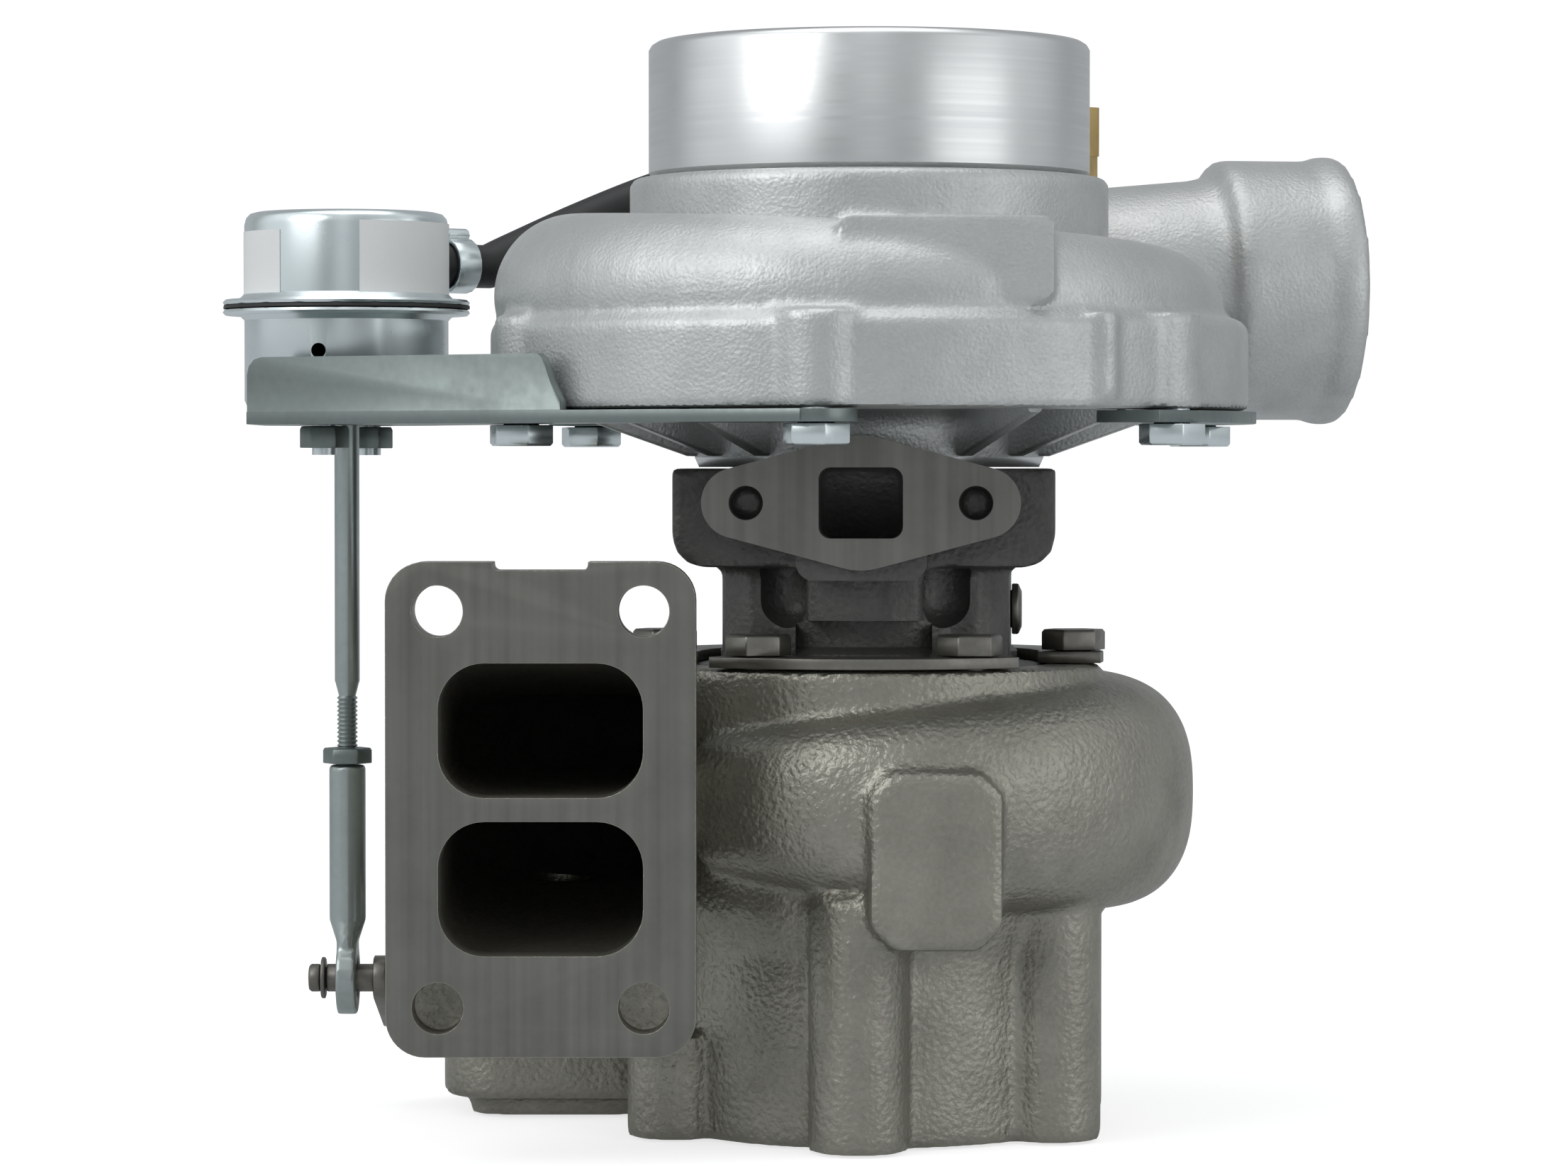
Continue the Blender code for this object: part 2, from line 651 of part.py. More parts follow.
def blade(hub, tip, start, wrap, thickness, root_depth, steps=4):
    """One wheel blade between its hub and tip edges; wrap gives its angle along the flow."""
    rings = []
    for step in range(steps + 1):
        share = start + (1 - start) * step / steps
        angle = wrap(share)
        ring = []
        for edge, half, depth in ((hub, thickness / 2, root_depth), (tip, thickness / 3, 0.0)):
            radius, height = meridian(edge[0], edge[1], share)
            lean = depth * math.sin(share * math.pi / 2)
            radius -= depth * math.cos(share * math.pi / 2)
            height -= lean * (1 if edge[1][1] < edge[0][1] else -1)
            offset = half / radius
            pair = [polar(radius, angle - offset, height), polar(radius, angle + offset, height)]
            ring += pair if not ring else pair[::-1]
        rings.append(ring)
    return loft(rings)


def blade_set(count, make):
    """A ring of equal blades in one mesh."""
    return merged([turned(make(index), 2 * math.pi * index / count) for index in range(count)])


def slab_y(outline, front, back):
    """Extrude an outline drawn in X and Z from front to back along Y."""
    return turned(prism(outline, -back, -front), math.pi / 2, "X")


def sector(inner, outer, middle, half_angle, bottom, top, steps=8):
    """A plate between two radii and two angles about the shaft."""
    outline = arc((0, 0), outer, middle - half_angle, middle + half_angle, steps)
    outline += arc((0, 0), inner, middle + half_angle, middle - half_angle, steps)
    return prism(outline, bottom, top)


def bolt_angles(clock):
    """Angles of six bolts, clocked from the front of the shaft."""
    return [FRONT + clock + index * math.pi / 3 for index in range(BOLT_COUNT)]


def at_bolts(circle_radius, clock, make):
    """Copies of one form at all six bolts, in one mesh."""
    return merged([moved(make(), polar(circle_radius, angle)) for angle in bolt_angles(clock)])


def volute_rings(shrink, floor, points):
    """Rings of the compressor volute, or of the passage shrunk inside it."""
    rings = []
    turns = 15
    for step in range(turns + 1):
        share = step / turns
        size = VOLUTE_TONGUE_SECTION
        size += (VOLUTE_END_SECTION - VOLUTE_TONGUE_SECTION) * share ** 0.75
        size -= shrink
        angle = VOLUTE_END_ANGLE + VOLUTE_SWEEP * (1 - share)
        rings.append([polar(VOLUTE_RADIUS + x, angle, floor + size + z)
                      for x, z in circle(size, points)])
    return rings


def outlet_rings(shrink, floor, points):
    """Rings of the straight compressor outlet that leaves the end of the volute."""
    start_size = VOLUTE_END_SECTION - shrink
    start = polar(VOLUTE_RADIUS, VOLUTE_END_ANGLE, floor + start_size)
    along = Vector((math.cos(OUTLET_SKEW), math.sin(OUTLET_SKEW), 0.0))
    across = Vector((-along.y, along.x, 0.0))
    neck = OUTLET_NECK_LENGTH
    end = neck + OUTLET_TUBE_LENGTH
    overlap = 0.006
    spans = [(-overlap, start_size - 0.0010), (0.0015, start_size + RELIEF)]
    if shrink:
        bore = OUTLET_TUBE_RADIUS - OUTLET_TUBE_WALL
        waist = OUTLET_NECK_RADIUS - 0.5 * shrink
        spans += [(0.5 * neck, (start_size + waist) / 2), (neck, waist), (neck + 0.004, bore),
                  (end + 0.002, bore)]
    else:
        lip = OUTLET_TUBE_RADIUS + OUTLET_BEAD
        spans += [(0.5 * neck, (start_size + OUTLET_NECK_RADIUS) / 2), (neck, OUTLET_NECK_RADIUS),
                  (neck + 0.0035, OUTLET_TUBE_RADIUS), (end - OUTLET_BEAD_WIDTH, OUTLET_TUBE_RADIUS),
                  (end - 0.7 * OUTLET_BEAD_WIDTH, lip), (end - 0.3 * OUTLET_BEAD_WIDTH, lip),
                  (end, OUTLET_TUBE_RADIUS)]
    rings = []
    for length, radius in spans:
        middle = start + along * length
        middle.z += (OUTLET_AXIS_Z - start.z) * min(max(length / neck, 0.0), 1.0)
        rings.append([middle + across * x + Vector((0, 0, z)) for x, z in circle(radius, points)])
    return rings


def build_cover(assembly):
    """Compressor cover: inlet tube, collar, volute, outlet and bolt flange in one casting."""
    outer = [(0.0, COVER_Z), (COVER_FLANGE_RADIUS, COVER_Z),
             (COVER_FLANGE_RADIUS, COVER_FLANGE_TOP_Z - 0.002),
             (COVER_FLANGE_RADIUS - 0.002, COVER_FLANGE_TOP_Z),
             (COLLAR_RADIUS + 0.006, COVER_FLANGE_TOP_Z + 0.004),
             (COLLAR_RADIUS, COVER_FLANGE_TOP_Z + 0.012),
             (COLLAR_RADIUS, COLLAR_TOP_Z - 0.002), (COLLAR_RADIUS - 0.0015, COLLAR_TOP_Z),
             (INLET_RADIUS, COLLAR_TOP_Z + 0.0015), (INLET_RADIUS, INLET_TOP_Z - INLET_CHAMFER),
             (INLET_RADIUS - INLET_CHAMFER, INLET_TOP_Z), (0.0, INLET_TOP_Z)]
    cover = piece("compressor_cover", revolve(outer), assembly, "cast_aluminium")
    join(cover, "volute", loft(volute_rings(0.0, COVER_Z + VOLUTE_FLOOR, 12)))
    join(cover, "outlet", loft(outlet_rings(0.0, COVER_Z + VOLUTE_FLOOR, 16)))
    boss_circle = COVER_FLANGE_RADIUS + COVER_BOSS_REACH - COVER_BOSS_RADIUS
    join(cover, "bosses", at_bolts(boss_circle, COVER_BOLT_CLOCK, lambda: cylinder(
        COVER_BOSS_RADIUS, COVER_Z + RELIEF, COVER_FLANGE_TOP_Z + 0.0006, 12)))
    rib = polar(COVER_FLANGE_RADIUS - 0.0022, FRONT + COVER_RIB_ANGLE)
    join(cover, "rib", cylinder(COVER_RIB_RADIUS, COVER_Z + 0.0020, COVER_FLANGE_TOP_Z + 0.0003,
                                10, rib))
    pad_top = COVER_Z + COVER_PAD_TOP
    pad = rounded_rectangle(COVER_PAD_WIDTH, COVER_PAD_HEIGHT, 0.0025, 2,
                            (COVER_PAD_X, pad_top - COVER_PAD_HEIGHT / 2))
    join(cover, "plate_pad", slab_y(pad, COVER_PAD_FACE_Y, -COLLAR_RADIUS + 0.008))
    fitting = polar(FITTING_RADIUS_OUT, FITTING_ANGLE)
    join(cover, "fitting_boss", cylinder(FITTING_BOSS_RADIUS, COVER_FLANGE_TOP_Z + 0.010,
                                         COLLAR_TOP_Z, 14, fitting))
    tip = [meridian((WHEEL_INDUCER_RADIUS + TIP_CLEARANCE, WHEEL_TOP_Z),
                    (WHEEL_RADIUS + TIP_CLEARANCE, WHEEL_TIP_Z + TIP_CLEARANCE), step / 4)
           for step in range(5)]
    bore = INLET_RADIUS - INLET_WALL
    throat = [(0.0, COVER_Z - 0.004), (COVER_SEAT_RADIUS, COVER_Z - 0.004),
              (COVER_SEAT_RADIUS, DIFFUSER_Z + GAP), (DIFFUSER_RADIUS, DIFFUSER_Z + GAP),
              (DIFFUSER_RADIUS, WHEEL_TIP_Z + TIP_CLEARANCE)]
    throat += tip[::-1]
    throat += [(WHEEL_INDUCER_RADIUS + TIP_CLEARANCE, WHEEL_TOP_Z + 0.006),
               (WHEEL_INDUCER_RADIUS + 0.0045, COLLAR_TOP_Z - 0.004),
               (bore, COLLAR_TOP_Z + 0.011), (bore, INLET_TOP_Z + 0.002), (0.0, INLET_TOP_Z + 0.002)]
    cut(cover, "throat", turned(revolve(throat), HALF_STEP))
    passage_floor = WHEEL_TIP_Z + TIP_CLEARANCE - 0.0018
    cut(cover, "passage", loft(volute_rings(VOLUTE_WALL, passage_floor, 8)))
    cut(cover, "outlet_bore", loft(outlet_rings(VOLUTE_WALL, passage_floor, 12)))
    cut(cover, "bolt_holes", at_bolts(COVER_BOLT_CIRCLE, COVER_BOLT_CLOCK, lambda: cylinder(
        BOLT_HOLE_RADIUS, COVER_Z - 0.001, COVER_Z + COVER_BOLT_DEPTH + GAP)))
    cut(cover, "fitting_hole", cylinder(FITTING_SPIGOT_RADIUS + GAP, COLLAR_TOP_Z - 0.012,
                                        COLLAR_TOP_Z + 0.001, SMALL_STEPS, fitting))
    return cover


def build_backplate(assembly):
    """Compressor backplate: a ribbed disc with a hub that sits on the centre housing."""
    hub = BACKPLATE_HUB_RADIUS
    profile = [(SEAL_BORE, DIFFUSER_Z - WHEEL_RECESS), (WHEEL_RADIUS + 0.001, DIFFUSER_Z - WHEEL_RECESS),
               (WHEEL_RADIUS + 0.001, DIFFUSER_Z), (BACKPLATE_RADIUS, DIFFUSER_Z),
               (BACKPLATE_RADIUS, COVER_Z), (hub + 0.003, COVER_Z), (hub, COVER_Z - 0.003),
               (hub, BACKPLATE_Z + 0.0022), (hub - 0.001, BACKPLATE_Z),
               (SLINGER_RADIUS + 0.001, BACKPLATE_Z),
               (SLINGER_RADIUS + 0.001, SLINGER_Z + THRUST_FLANGE + 0.0009),
               (SEAL_BORE, SLINGER_Z + THRUST_FLANGE + 0.0009)]
    plate = piece("compressor_backplate", turned(revolve(profile), HALF_STEP), assembly, "cast_aluminium")
    rib_end = COVER_PLATE_RADIUS - COVER_PLATE_WIDTH - 4 * GAP
    side = [(hub - 0.002, BACKPLATE_Z + 0.0025), (hub + 0.002, BACKPLATE_Z + 0.0025),
            (rib_end, COVER_Z - 0.0008), (rib_end, COVER_Z + 0.0015), (hub - 0.002, COVER_Z + 0.0015)]
    skipped = math.radians(62)
    ribs = []
    for index in range(BACKPLATE_RIBS):
        angle = FRONT + CENTER_CLOCK + (index + 0.5) * 2 * math.pi / BACKPLATE_RIBS
        away = abs((angle - FRONT - CENTER_CLOCK + math.pi) % (2 * math.pi) - math.pi)
        if away > skipped:
            wedge = slab_y(side, -BACKPLATE_RIB_WIDTH / 2, BACKPLATE_RIB_WIDTH / 2)
            ribs.append(turned(wedge, angle))
    join(plate, "ribs", merged(ribs))
    return plate


def build_cover_fasteners(assembly):
    """Two clamp plates that hold the backplate in the cover, and the six cover bolts."""
    angles = bolt_angles(COVER_BOLT_CLOCK)
    outer = COVER_PLATE_RADIUS
    for name, first in (("right", 1), ("back", 3)):
        middle = (angles[first] + angles[first + 1]) / 2
        plate = piece("cover_clamp_plate_" + name,
                      sector(outer - COVER_PLATE_WIDTH, outer, middle, COVER_PLATE_HALF_ANGLE,
                             PLATE_TOP_Z - COVER_PLATE_THICKNESS, PLATE_TOP_Z), assembly, "zinc")
        for index in (first, first + 1):
            spot = polar(COVER_BOLT_CIRCLE, angles[index])
            cut(plate, "hole_%d" % index, cylinder(BOLT_HOLE_RADIUS, PLATE_TOP_Z - 0.006,
                                                   PLATE_TOP_Z + 0.002, SMALL_STEPS, spot))
    for index, angle in enumerate(angles):
        thickness = BRACKET_SHEET if index in (0, 5) else COVER_PLATE_THICKNESS
        seat = PLATE_TOP_Z - thickness - GAP
        length = COVER_Z + COVER_BOLT_DEPTH - seat
        bolt = piece("cover_bolt_%d" % (index + 1), hex_bolt(length, 1), assembly, "zinc")
        bolt.location = polar(COVER_BOLT_CIRCLE, angle, seat)
        bolt.rotation_euler.z = angle + 0.4


def wheel_wrap(share):
    """Angle of a compressor blade along the flow: a raked inducer and a backswept exit."""
    return -0.85 * (1 - share) ** 1.7 + 0.42 * share ** 3


def build_compressor_wheel(rotor):
    """Compressor wheel with full and splitter blades on a curved hub, and its nut."""
    hub_axial = (WHEEL_HUB_RADIUS, WHEEL_TOP_Z)
    hub_radial = (WHEEL_RADIUS - 0.0002, WHEEL_RIM_Z)
    tip_axial = (WHEEL_INDUCER_RADIUS, WHEEL_TOP_Z)
    tip_radial = (WHEEL_RADIUS - 0.0002, WHEEL_TIP_Z)
    curve = [meridian(hub_axial, (WHEEL_RADIUS, WHEEL_RIM_Z), step / 6) for step in range(7)]
    hole = STUB_RADIUS + GAP
    boss = SEAL_HUB_RADIUS
    profile = [(hole, WHEEL_NUT_Z - GAP), (WHEEL_HUB_RADIUS - 0.001, WHEEL_NUT_Z - GAP)] + curve
    profile += [(WHEEL_RADIUS, WHEEL_BACK_Z), (boss, WHEEL_BACK_Z),
                (boss, WHEEL_BACK_Z - 0.0012), (hole, WHEEL_BACK_Z - 0.0012)]
    wheel = piece("compressor_wheel", revolve(profile, 28), rotor, "steel")

    def make(index):
        start = 0.0 if index % 2 == 0 else 0.36
        return blade((hub_axial, hub_radial), (tip_axial, tip_radial), start, wheel_wrap,
                     0.0016, 0.0009)

    join(wheel, "blades", blade_set(WHEEL_BLADES, make))
    nut = piece("compressor_wheel_nut",
                hex_nut(WHEEL_NUT_FLATS, WHEEL_NUT_HEIGHT, STUB_RADIUS + GAP), rotor, "dark_steel")
    nut.location.z = WHEEL_NUT_Z


def turbine_wrap(share):
    """Angle of a turbine blade from its exit: a curved exducer that runs out to straight radial."""
    return 0.75 * (1 - share) ** 2.2


def build_rotor(rotor):
    """Shaft with the turbine wheel, and the collar, slinger and seal rings on it."""
    groove_low = CENTER_BASE_Z + 0.0012
    groove_top = groove_low + SEAL_RING_WIDTH + 2 * GAP
    groove = SEAL_HUB_RADIUS - SEAL_RING_DEPTH - GAP
    hub_top = CENTER_BASE_Z + 0.0058
    stub_z = COLLAR_Z - GAP
    hub_axial = (TURBINE_HUB_RADIUS, TURBINE_NOSE_Z)
    hub_radial = (TURBINE_TIP_RADIUS - 0.002, TURBINE_BACK_Z - 0.0012)
    tip_axial = (TURBINE_EXDUCER_RADIUS, TURBINE_NOSE_Z)
    tip_radial = (TURBINE_TIP_RADIUS, TURBINE_TIP_Z - TURBINE_TIP_WIDTH)
    curve = [meridian(hub_axial, hub_radial, step / 5) for step in range(6)]
    profile = [(0.0, TURBINE_NOSE_Z - 0.004), (TURBINE_HUB_RADIUS - 0.003, TURBINE_NOSE_Z - 0.003)]
    profile += curve
    profile += [(TURBINE_TIP_RADIUS - 0.002, TURBINE_BACK_Z), (SEAL_HUB_RADIUS, TURBINE_BACK_Z),
                (SEAL_HUB_RADIUS, groove_low), (groove, groove_low), (groove, groove_top),
                (SEAL_HUB_RADIUS, groove_top), (SEAL_HUB_RADIUS, hub_top), (JOURNAL_RADIUS, hub_top),
                (JOURNAL_RADIUS, stub_z), (STUB_RADIUS, stub_z), (STUB_RADIUS, SHAFT_END_Z),
                (0.0, SHAFT_END_Z)]
    shaft = piece("shaft_and_turbine_wheel", revolve(profile, 22), rotor, "dark_steel")

    def make(index):
        return blade((hub_axial, hub_radial), (tip_axial, tip_radial), 0.0, turbine_wrap,
                     0.0018, 0.0011)

    join(shaft, "blades", blade_set(TURBINE_BLADES, make))
    hole = STUB_RADIUS + GAP
    collar = [(hole, COLLAR_Z), (THRUST_COLLAR_RADIUS, COLLAR_Z),
              (THRUST_COLLAR_RADIUS, COLLAR_Z + THRUST_FLANGE),
              (THRUST_NECK_RADIUS, COLLAR_Z + THRUST_FLANGE), (THRUST_NECK_RADIUS, SLINGER_Z - GAP),
              (hole, SLINGER_Z - GAP)]
    piece("thrust_collar", revolve(collar, SHAFT_STEPS), rotor, "steel")
    top = WHEEL_BACK_Z - 0.0012 - GAP
    ring_z = slinger_groove_z()
    ring_top = ring_z + SEAL_RING_WIDTH + 2 * GAP
    slinger = [(hole, SLINGER_Z), (SLINGER_RADIUS, SLINGER_Z),
               (SLINGER_RADIUS, SLINGER_Z + THRUST_FLANGE),
               (SEAL_HUB_RADIUS, SLINGER_Z + THRUST_FLANGE), (SEAL_HUB_RADIUS, ring_z),
               (groove, ring_z), (groove, ring_top), (SEAL_HUB_RADIUS, ring_top),
               (SEAL_HUB_RADIUS, top), (hole, top)]
    piece("oil_slinger", revolve(slinger, SHAFT_STEPS), rotor, "steel")


def slinger_groove_z():
    """Height of the seal ring groove in the oil slinger."""
    return SLINGER_Z + THRUST_FLANGE + 0.0045


def build_bearings(assembly):
    """Semi-floating journal bearings, thrust bearing, seal rings, O-ring and heat shield."""
    inner = JOURNAL_RADIUS + RUNNING_GAP
    outer = inner + BEARING_WALL
    for name, low in (("lower", LOWER_BEARING_Z), ("upper", LOWER_BEARING_Z + BEARING_PITCH)):
        piece("journal_bearing_" + name, ring_of(inner, outer, low, low + BEARING_LENGTH, SHAFT_STEPS),
              assembly, "bronze")
    piece("thrust_bearing", ring_of(THRUST_NECK_RADIUS + RUNNING_GAP, THRUST_BEARING_RADIUS, THRUST_Z,
                                    CENTER_TOP_Z, 24), assembly, "bronze")
    ring_in = SEAL_HUB_RADIUS - SEAL_RING_DEPTH
    ring_out = SEAL_HUB_RADIUS + RUNNING_GAP / 2
    for name, low in (("turbine", CENTER_BASE_Z + 0.0012), ("compressor", slinger_groove_z())):
        piece(name + "_seal_ring", ring_of(ring_in, ring_out, low + GAP, low + GAP + SEAL_RING_WIDTH,
                                           SHAFT_STEPS), assembly, "steel")
    half = O_RING_WIRE / 2
    section = [(O_RING_RADIUS + x, CENTER_TOP_Z - half + z) for x, z in circle(half, 5)]
    piece("backplate_o_ring", revolve(section, 22), assembly, "rubber")
    sheet = HEAT_SHIELD_THICKNESS
    wall = CHAMBER_RADIUS - 0.0022
    low = SHIELD_TOP_Z - HEAT_SHIELD_DEPTH - sheet
    hole = SEAL_HUB_RADIUS + 0.0012
    rim = SPIGOT_RADIUS - GAP
    shield = [(hole, low), (wall, low), (wall, SHIELD_TOP_Z - sheet), (rim, SHIELD_TOP_Z - sheet),
              (rim, SHIELD_TOP_Z), (wall - sheet, SHIELD_TOP_Z), (wall - sheet, low + sheet),
              (hole, low + sheet)]
    piece("heat_shield", turned(revolve(shield), HALF_STEP), assembly, "steel")


def diamond(width, height, ear, bulge_radius, steps=5):
    """A two-eared flange outline: a round middle with straight tangents to smaller ears."""
    reach = width / 2 - ear
    lean = math.acos((bulge_radius - ear) / reach)
    points = arc((reach, 0), ear, -lean, lean, steps)
    points += arc((0, 0), bulge_radius, lean, math.pi - lean, steps)
    points += arc((-reach, 0), ear, math.pi - lean, math.pi + lean, steps)
    points += arc((0, 0), bulge_radius, math.pi + lean, 2 * math.pi - lean, steps)
    return [(x, z * min(1.0, height / 2 / bulge_radius)) for x, z in points]


def build_center_housing(assembly):
    """Centre housing with its bearing bore, drain flange, oil inlet and side plug."""
    base_radius = SPIGOT_RADIUS - GAP
    block_z = CENTER_TOP_Z - CENTER_BLOCK_HEIGHT
    profile = [(0.0, CENTER_BASE_Z), (base_radius, CENTER_BASE_Z), (base_radius, HOUSING_HEIGHT),
               (CENTER_LEG_RADIUS, HOUSING_HEIGHT), (CENTER_LEG_RADIUS, block_z + 0.002),
               (CENTER_NECK_RADIUS, block_z + 0.004), (CENTER_NECK_RADIUS, CENTER_TOP_Z - 0.002),
               (0.0, CENTER_TOP_Z - 0.002)]
    body = piece("center_housing", turned(revolve(profile), HALF_STEP), assembly, "dark_iron")
    legs = CENTER_LEG_HALF_WIDTH
    turbine_clock = TURBINE_BOLT_CLOCK
    cut(body, "scallops", at_bolts(TURBINE_BOLT_CIRCLE, turbine_clock, lambda: cylinder(
        CENTER_SCALLOP_RADIUS, HOUSING_HEIGHT + GAP, block_z - 0.001, 10)))
    side = CENTER_LEG_RADIUS
    flats = merged([prism(rounded_rectangle(0.02, 4 * side, 0.004, 2, (sign * (legs + 0.01), 0.0)),
                          HOUSING_HEIGHT + GAP, block_z + 0.001) for sign in (-1, 1)])
    cut(body, "leg_flats", turned(flats, CENTER_CLOCK))
    corner = CENTER_BLOCK_CORNER
    half = CENTER_BLOCK_WIDTH / 2
    front = [(-half, CENTER_TOP_Z), *arc((-half + corner, block_z + corner), corner, math.pi,
                                         1.5 * math.pi, 3),
             *arc((half - corner, block_z + corner), corner, -math.pi / 2, 0.0, 3), (half, CENTER_TOP_Z)]
    depth = CENTER_BLOCK_DEPTH / 2
    join(body, "block", turned(slab_y(front, -depth, depth), CENTER_CLOCK))
    drain_z = CENTER_TOP_Z - DRAIN_DROP
    flange = [(x, z + drain_z) for x, z in diamond(DRAIN_FLANGE_WIDTH, DRAIN_FLANGE_HEIGHT,
                                                   DRAIN_FLANGE_EAR, 1.05 * DRAIN_FLANGE_HEIGHT / 2)]
    join(body, "drain_flange", turned(slab_y(flange, DRAIN_FACE_Y, DRAIN_FACE_Y + DRAIN_FLANGE_THICKNESS),
                                      CENTER_CLOCK))
    neck = rounded_rectangle(DRAIN_PORT_WIDTH + 0.010, DRAIN_PORT_HEIGHT, 0.005, 3,
                             (0.0, block_z + DRAIN_PORT_HEIGHT / 2 + 0.0035))
    join(body, "drain_neck", turned(slab_y(neck, DRAIN_FACE_Y + DRAIN_FLANGE_THICKNESS / 2, -depth + 0.004),
                                    CENTER_CLOCK))
    inlet_z = LOWER_BEARING_Z + BEARING_PITCH + BEARING_LENGTH / 2
    inlet = circle(OIL_INLET_BOSS_RADIUS, 20, (0.0, inlet_z - 0.002))
    join(body, "oil_inlet", turned(slab_y(inlet, depth - 0.004, OIL_INLET_FACE_Y), CENTER_CLOCK))
    gallery_low = LOWER_BEARING_Z + BEARING_LENGTH + 0.002
    gallery_top = LOWER_BEARING_Z + BEARING_PITCH - 0.002
    bore = [(0.0, CENTER_BASE_Z - 0.002), (SEAL_BORE, CENTER_BASE_Z - 0.002),
            (SEAL_BORE, LOWER_BEARING_Z - 0.0015), (BEARING_BORE, LOWER_BEARING_Z - 0.0015),
            (BEARING_BORE, gallery_low), (OIL_GALLERY_RADIUS, gallery_low),
            (OIL_GALLERY_RADIUS, gallery_top), (BEARING_BORE, gallery_top),
            (BEARING_BORE, COLLAR_Z - 0.0016), (THRUST_COLLAR_RADIUS + 0.001, COLLAR_Z - 0.0016),
            (THRUST_COLLAR_RADIUS + 0.001, THRUST_Z - GAP),
            (THRUST_BEARING_RADIUS + GAP, THRUST_Z - GAP),
            (THRUST_BEARING_RADIUS + GAP, CENTER_TOP_Z + 0.002), (0.0, CENTER_TOP_Z + 0.002)]
    cut(body, "bearing_bore", revolve(bore, SHAFT_STEPS))
    groove = O_RING_WIRE / 2 + GAP
    cut(body, "o_ring_groove", ring_of(O_RING_RADIUS - groove, O_RING_RADIUS + groove,
                                       CENTER_TOP_Z - O_RING_WIRE - GAP, CENTER_TOP_Z + 0.002, 22))
    mouth = rounded_rectangle(DRAIN_PORT_WIDTH, DRAIN_PORT_HEIGHT, DRAIN_PORT_CORNER, 3, (0.0, drain_z))
    throat = rounded_rectangle(DRAIN_PORT_WIDTH, gallery_top - gallery_low - 0.001, DRAIN_PORT_CORNER, 3,
                               (0.0, (gallery_low + gallery_top) / 2))
    drain = loft([[(x, DRAIN_FACE_Y - 0.002, z) for x, z in mouth],
                  [(x, DRAIN_FACE_Y + 0.006, z) for x, z in mouth],
                  [(x, -depth + 0.006, z) for x, z in throat], [(x, -0.004, z) for x, z in throat]])
    cut(body, "drain", turned(drain, CENTER_CLOCK))
    holes = merged([slab_y(circle(DRAIN_HOLE_RADIUS, SMALL_STEPS, (sign * DRAIN_HOLE_SPACING / 2, drain_z)),
                           DRAIN_FACE_Y - 0.001, DRAIN_FACE_Y + DRAIN_HOLE_DEPTH) for sign in (-1, 1)])
    cut(body, "drain_holes", turned(holes, CENTER_CLOCK))
    port = slab_y(circle(OIL_INLET_RADIUS, SMALL_STEPS, (0.0, inlet_z - 0.002)),
                  OIL_INLET_FACE_Y - OIL_INLET_DEPTH, OIL_INLET_FACE_Y + 0.001)
    cut(body, "oil_inlet_port", turned(port, CENTER_CLOCK))
    feed = slab_y(circle(OIL_FEED_RADIUS, 8, (0.0, inlet_z - 0.002)), 0.002,
                  OIL_INLET_FACE_Y - OIL_INLET_DEPTH + 0.001)
    cut(body, "oil_feed", turned(feed, CENTER_CLOCK))
    plug_z = block_z - 0.010
    plug_y = -0.003
    hole = bar_x(PLUG_RADIUS + GAP, legs - 0.006, legs + 0.01, plug_y, plug_z)
    cut(body, "plug_hole", turned(hole, CENTER_CLOCK))
    plug = [(0.0, -0.0055), (PLUG_RADIUS, -0.0055), (PLUG_RADIUS, GAP), (PLUG_HEAD_RADIUS, GAP),
            (PLUG_HEAD_RADIUS, 0.0018), (0.7 * PLUG_HEAD_RADIUS, 0.0026), (0.0, 0.0026)]
    screw = moved(turned(revolve(plug, SMALL_STEPS), math.pi / 2, "Y"), (legs, plug_y, plug_z))
    piece("center_housing_plug", turned(screw, CENTER_CLOCK), assembly, "dark_steel")
    return body


def scroll_size(share):
    """Centre radius, half width and half height of the turbine scroll along its sweep."""
    radius = SCROLL_TAIL_RADIUS - (TURBINE_INLET_X + SCROLL_TAIL_RADIUS) * (1 - share) ** 2
    width = SCROLL_HALF_WIDTH - (SCROLL_HALF_WIDTH - SCROLL_TAIL_HALF_WIDTH) * share ** 2.2
    height = SCROLL_HALF_HEIGHT - (SCROLL_HALF_HEIGHT - SCROLL_TAIL_HALF_HEIGHT) * share ** 3.5
    return radius, width, height


def scroll_section(half_width, half_height, squareness=2.6, points=12):
    """A rounded scroll section as sideways and upward offsets."""
    section = []
    for x, z in circle(1.0, points, phase=math.pi / points):
        section.append((half_width * math.copysign(abs(x) ** (2 / squareness), x),
                        half_height * math.copysign(abs(z) ** (2 / squareness), z)))
    return section


def scroll_rings():
    """Rings of the scroll's outside, from the inlet flange round to its tail."""
    rings = []
    inlet_half = PORT_HEIGHT + DIVIDER / 2 + SCROLL_WALL
    flange_back = TURBINE_INLET_Y + INLET_FLANGE_THICKNESS - 0.003
    for y, blend in ((flange_back, 0.0), (0.6 * flange_back, 0.45), (0.28 * flange_back, 0.9)):
        height = inlet_half + (SCROLL_HALF_HEIGHT - inlet_half) * blend
        middle = TURBINE_INLET_Z + (SCROLL_HEIGHT - TURBINE_INLET_Z) * blend
        rings.append([Vector((TURBINE_INLET_X + x, y, middle + z))
                      for x, z in scroll_section(SCROLL_HALF_WIDTH, height, 3.6 - blend)])
    turns = 14
    for step in range(turns + 1):
        share = step / turns
        radius, width, height = scroll_size(share)
        angle = math.pi - SCROLL_SWEEP * share
        rings.append([polar(radius - x, angle, SCROLL_HEIGHT + z)
                      for x, z in scroll_section(width, height)])
    return rings


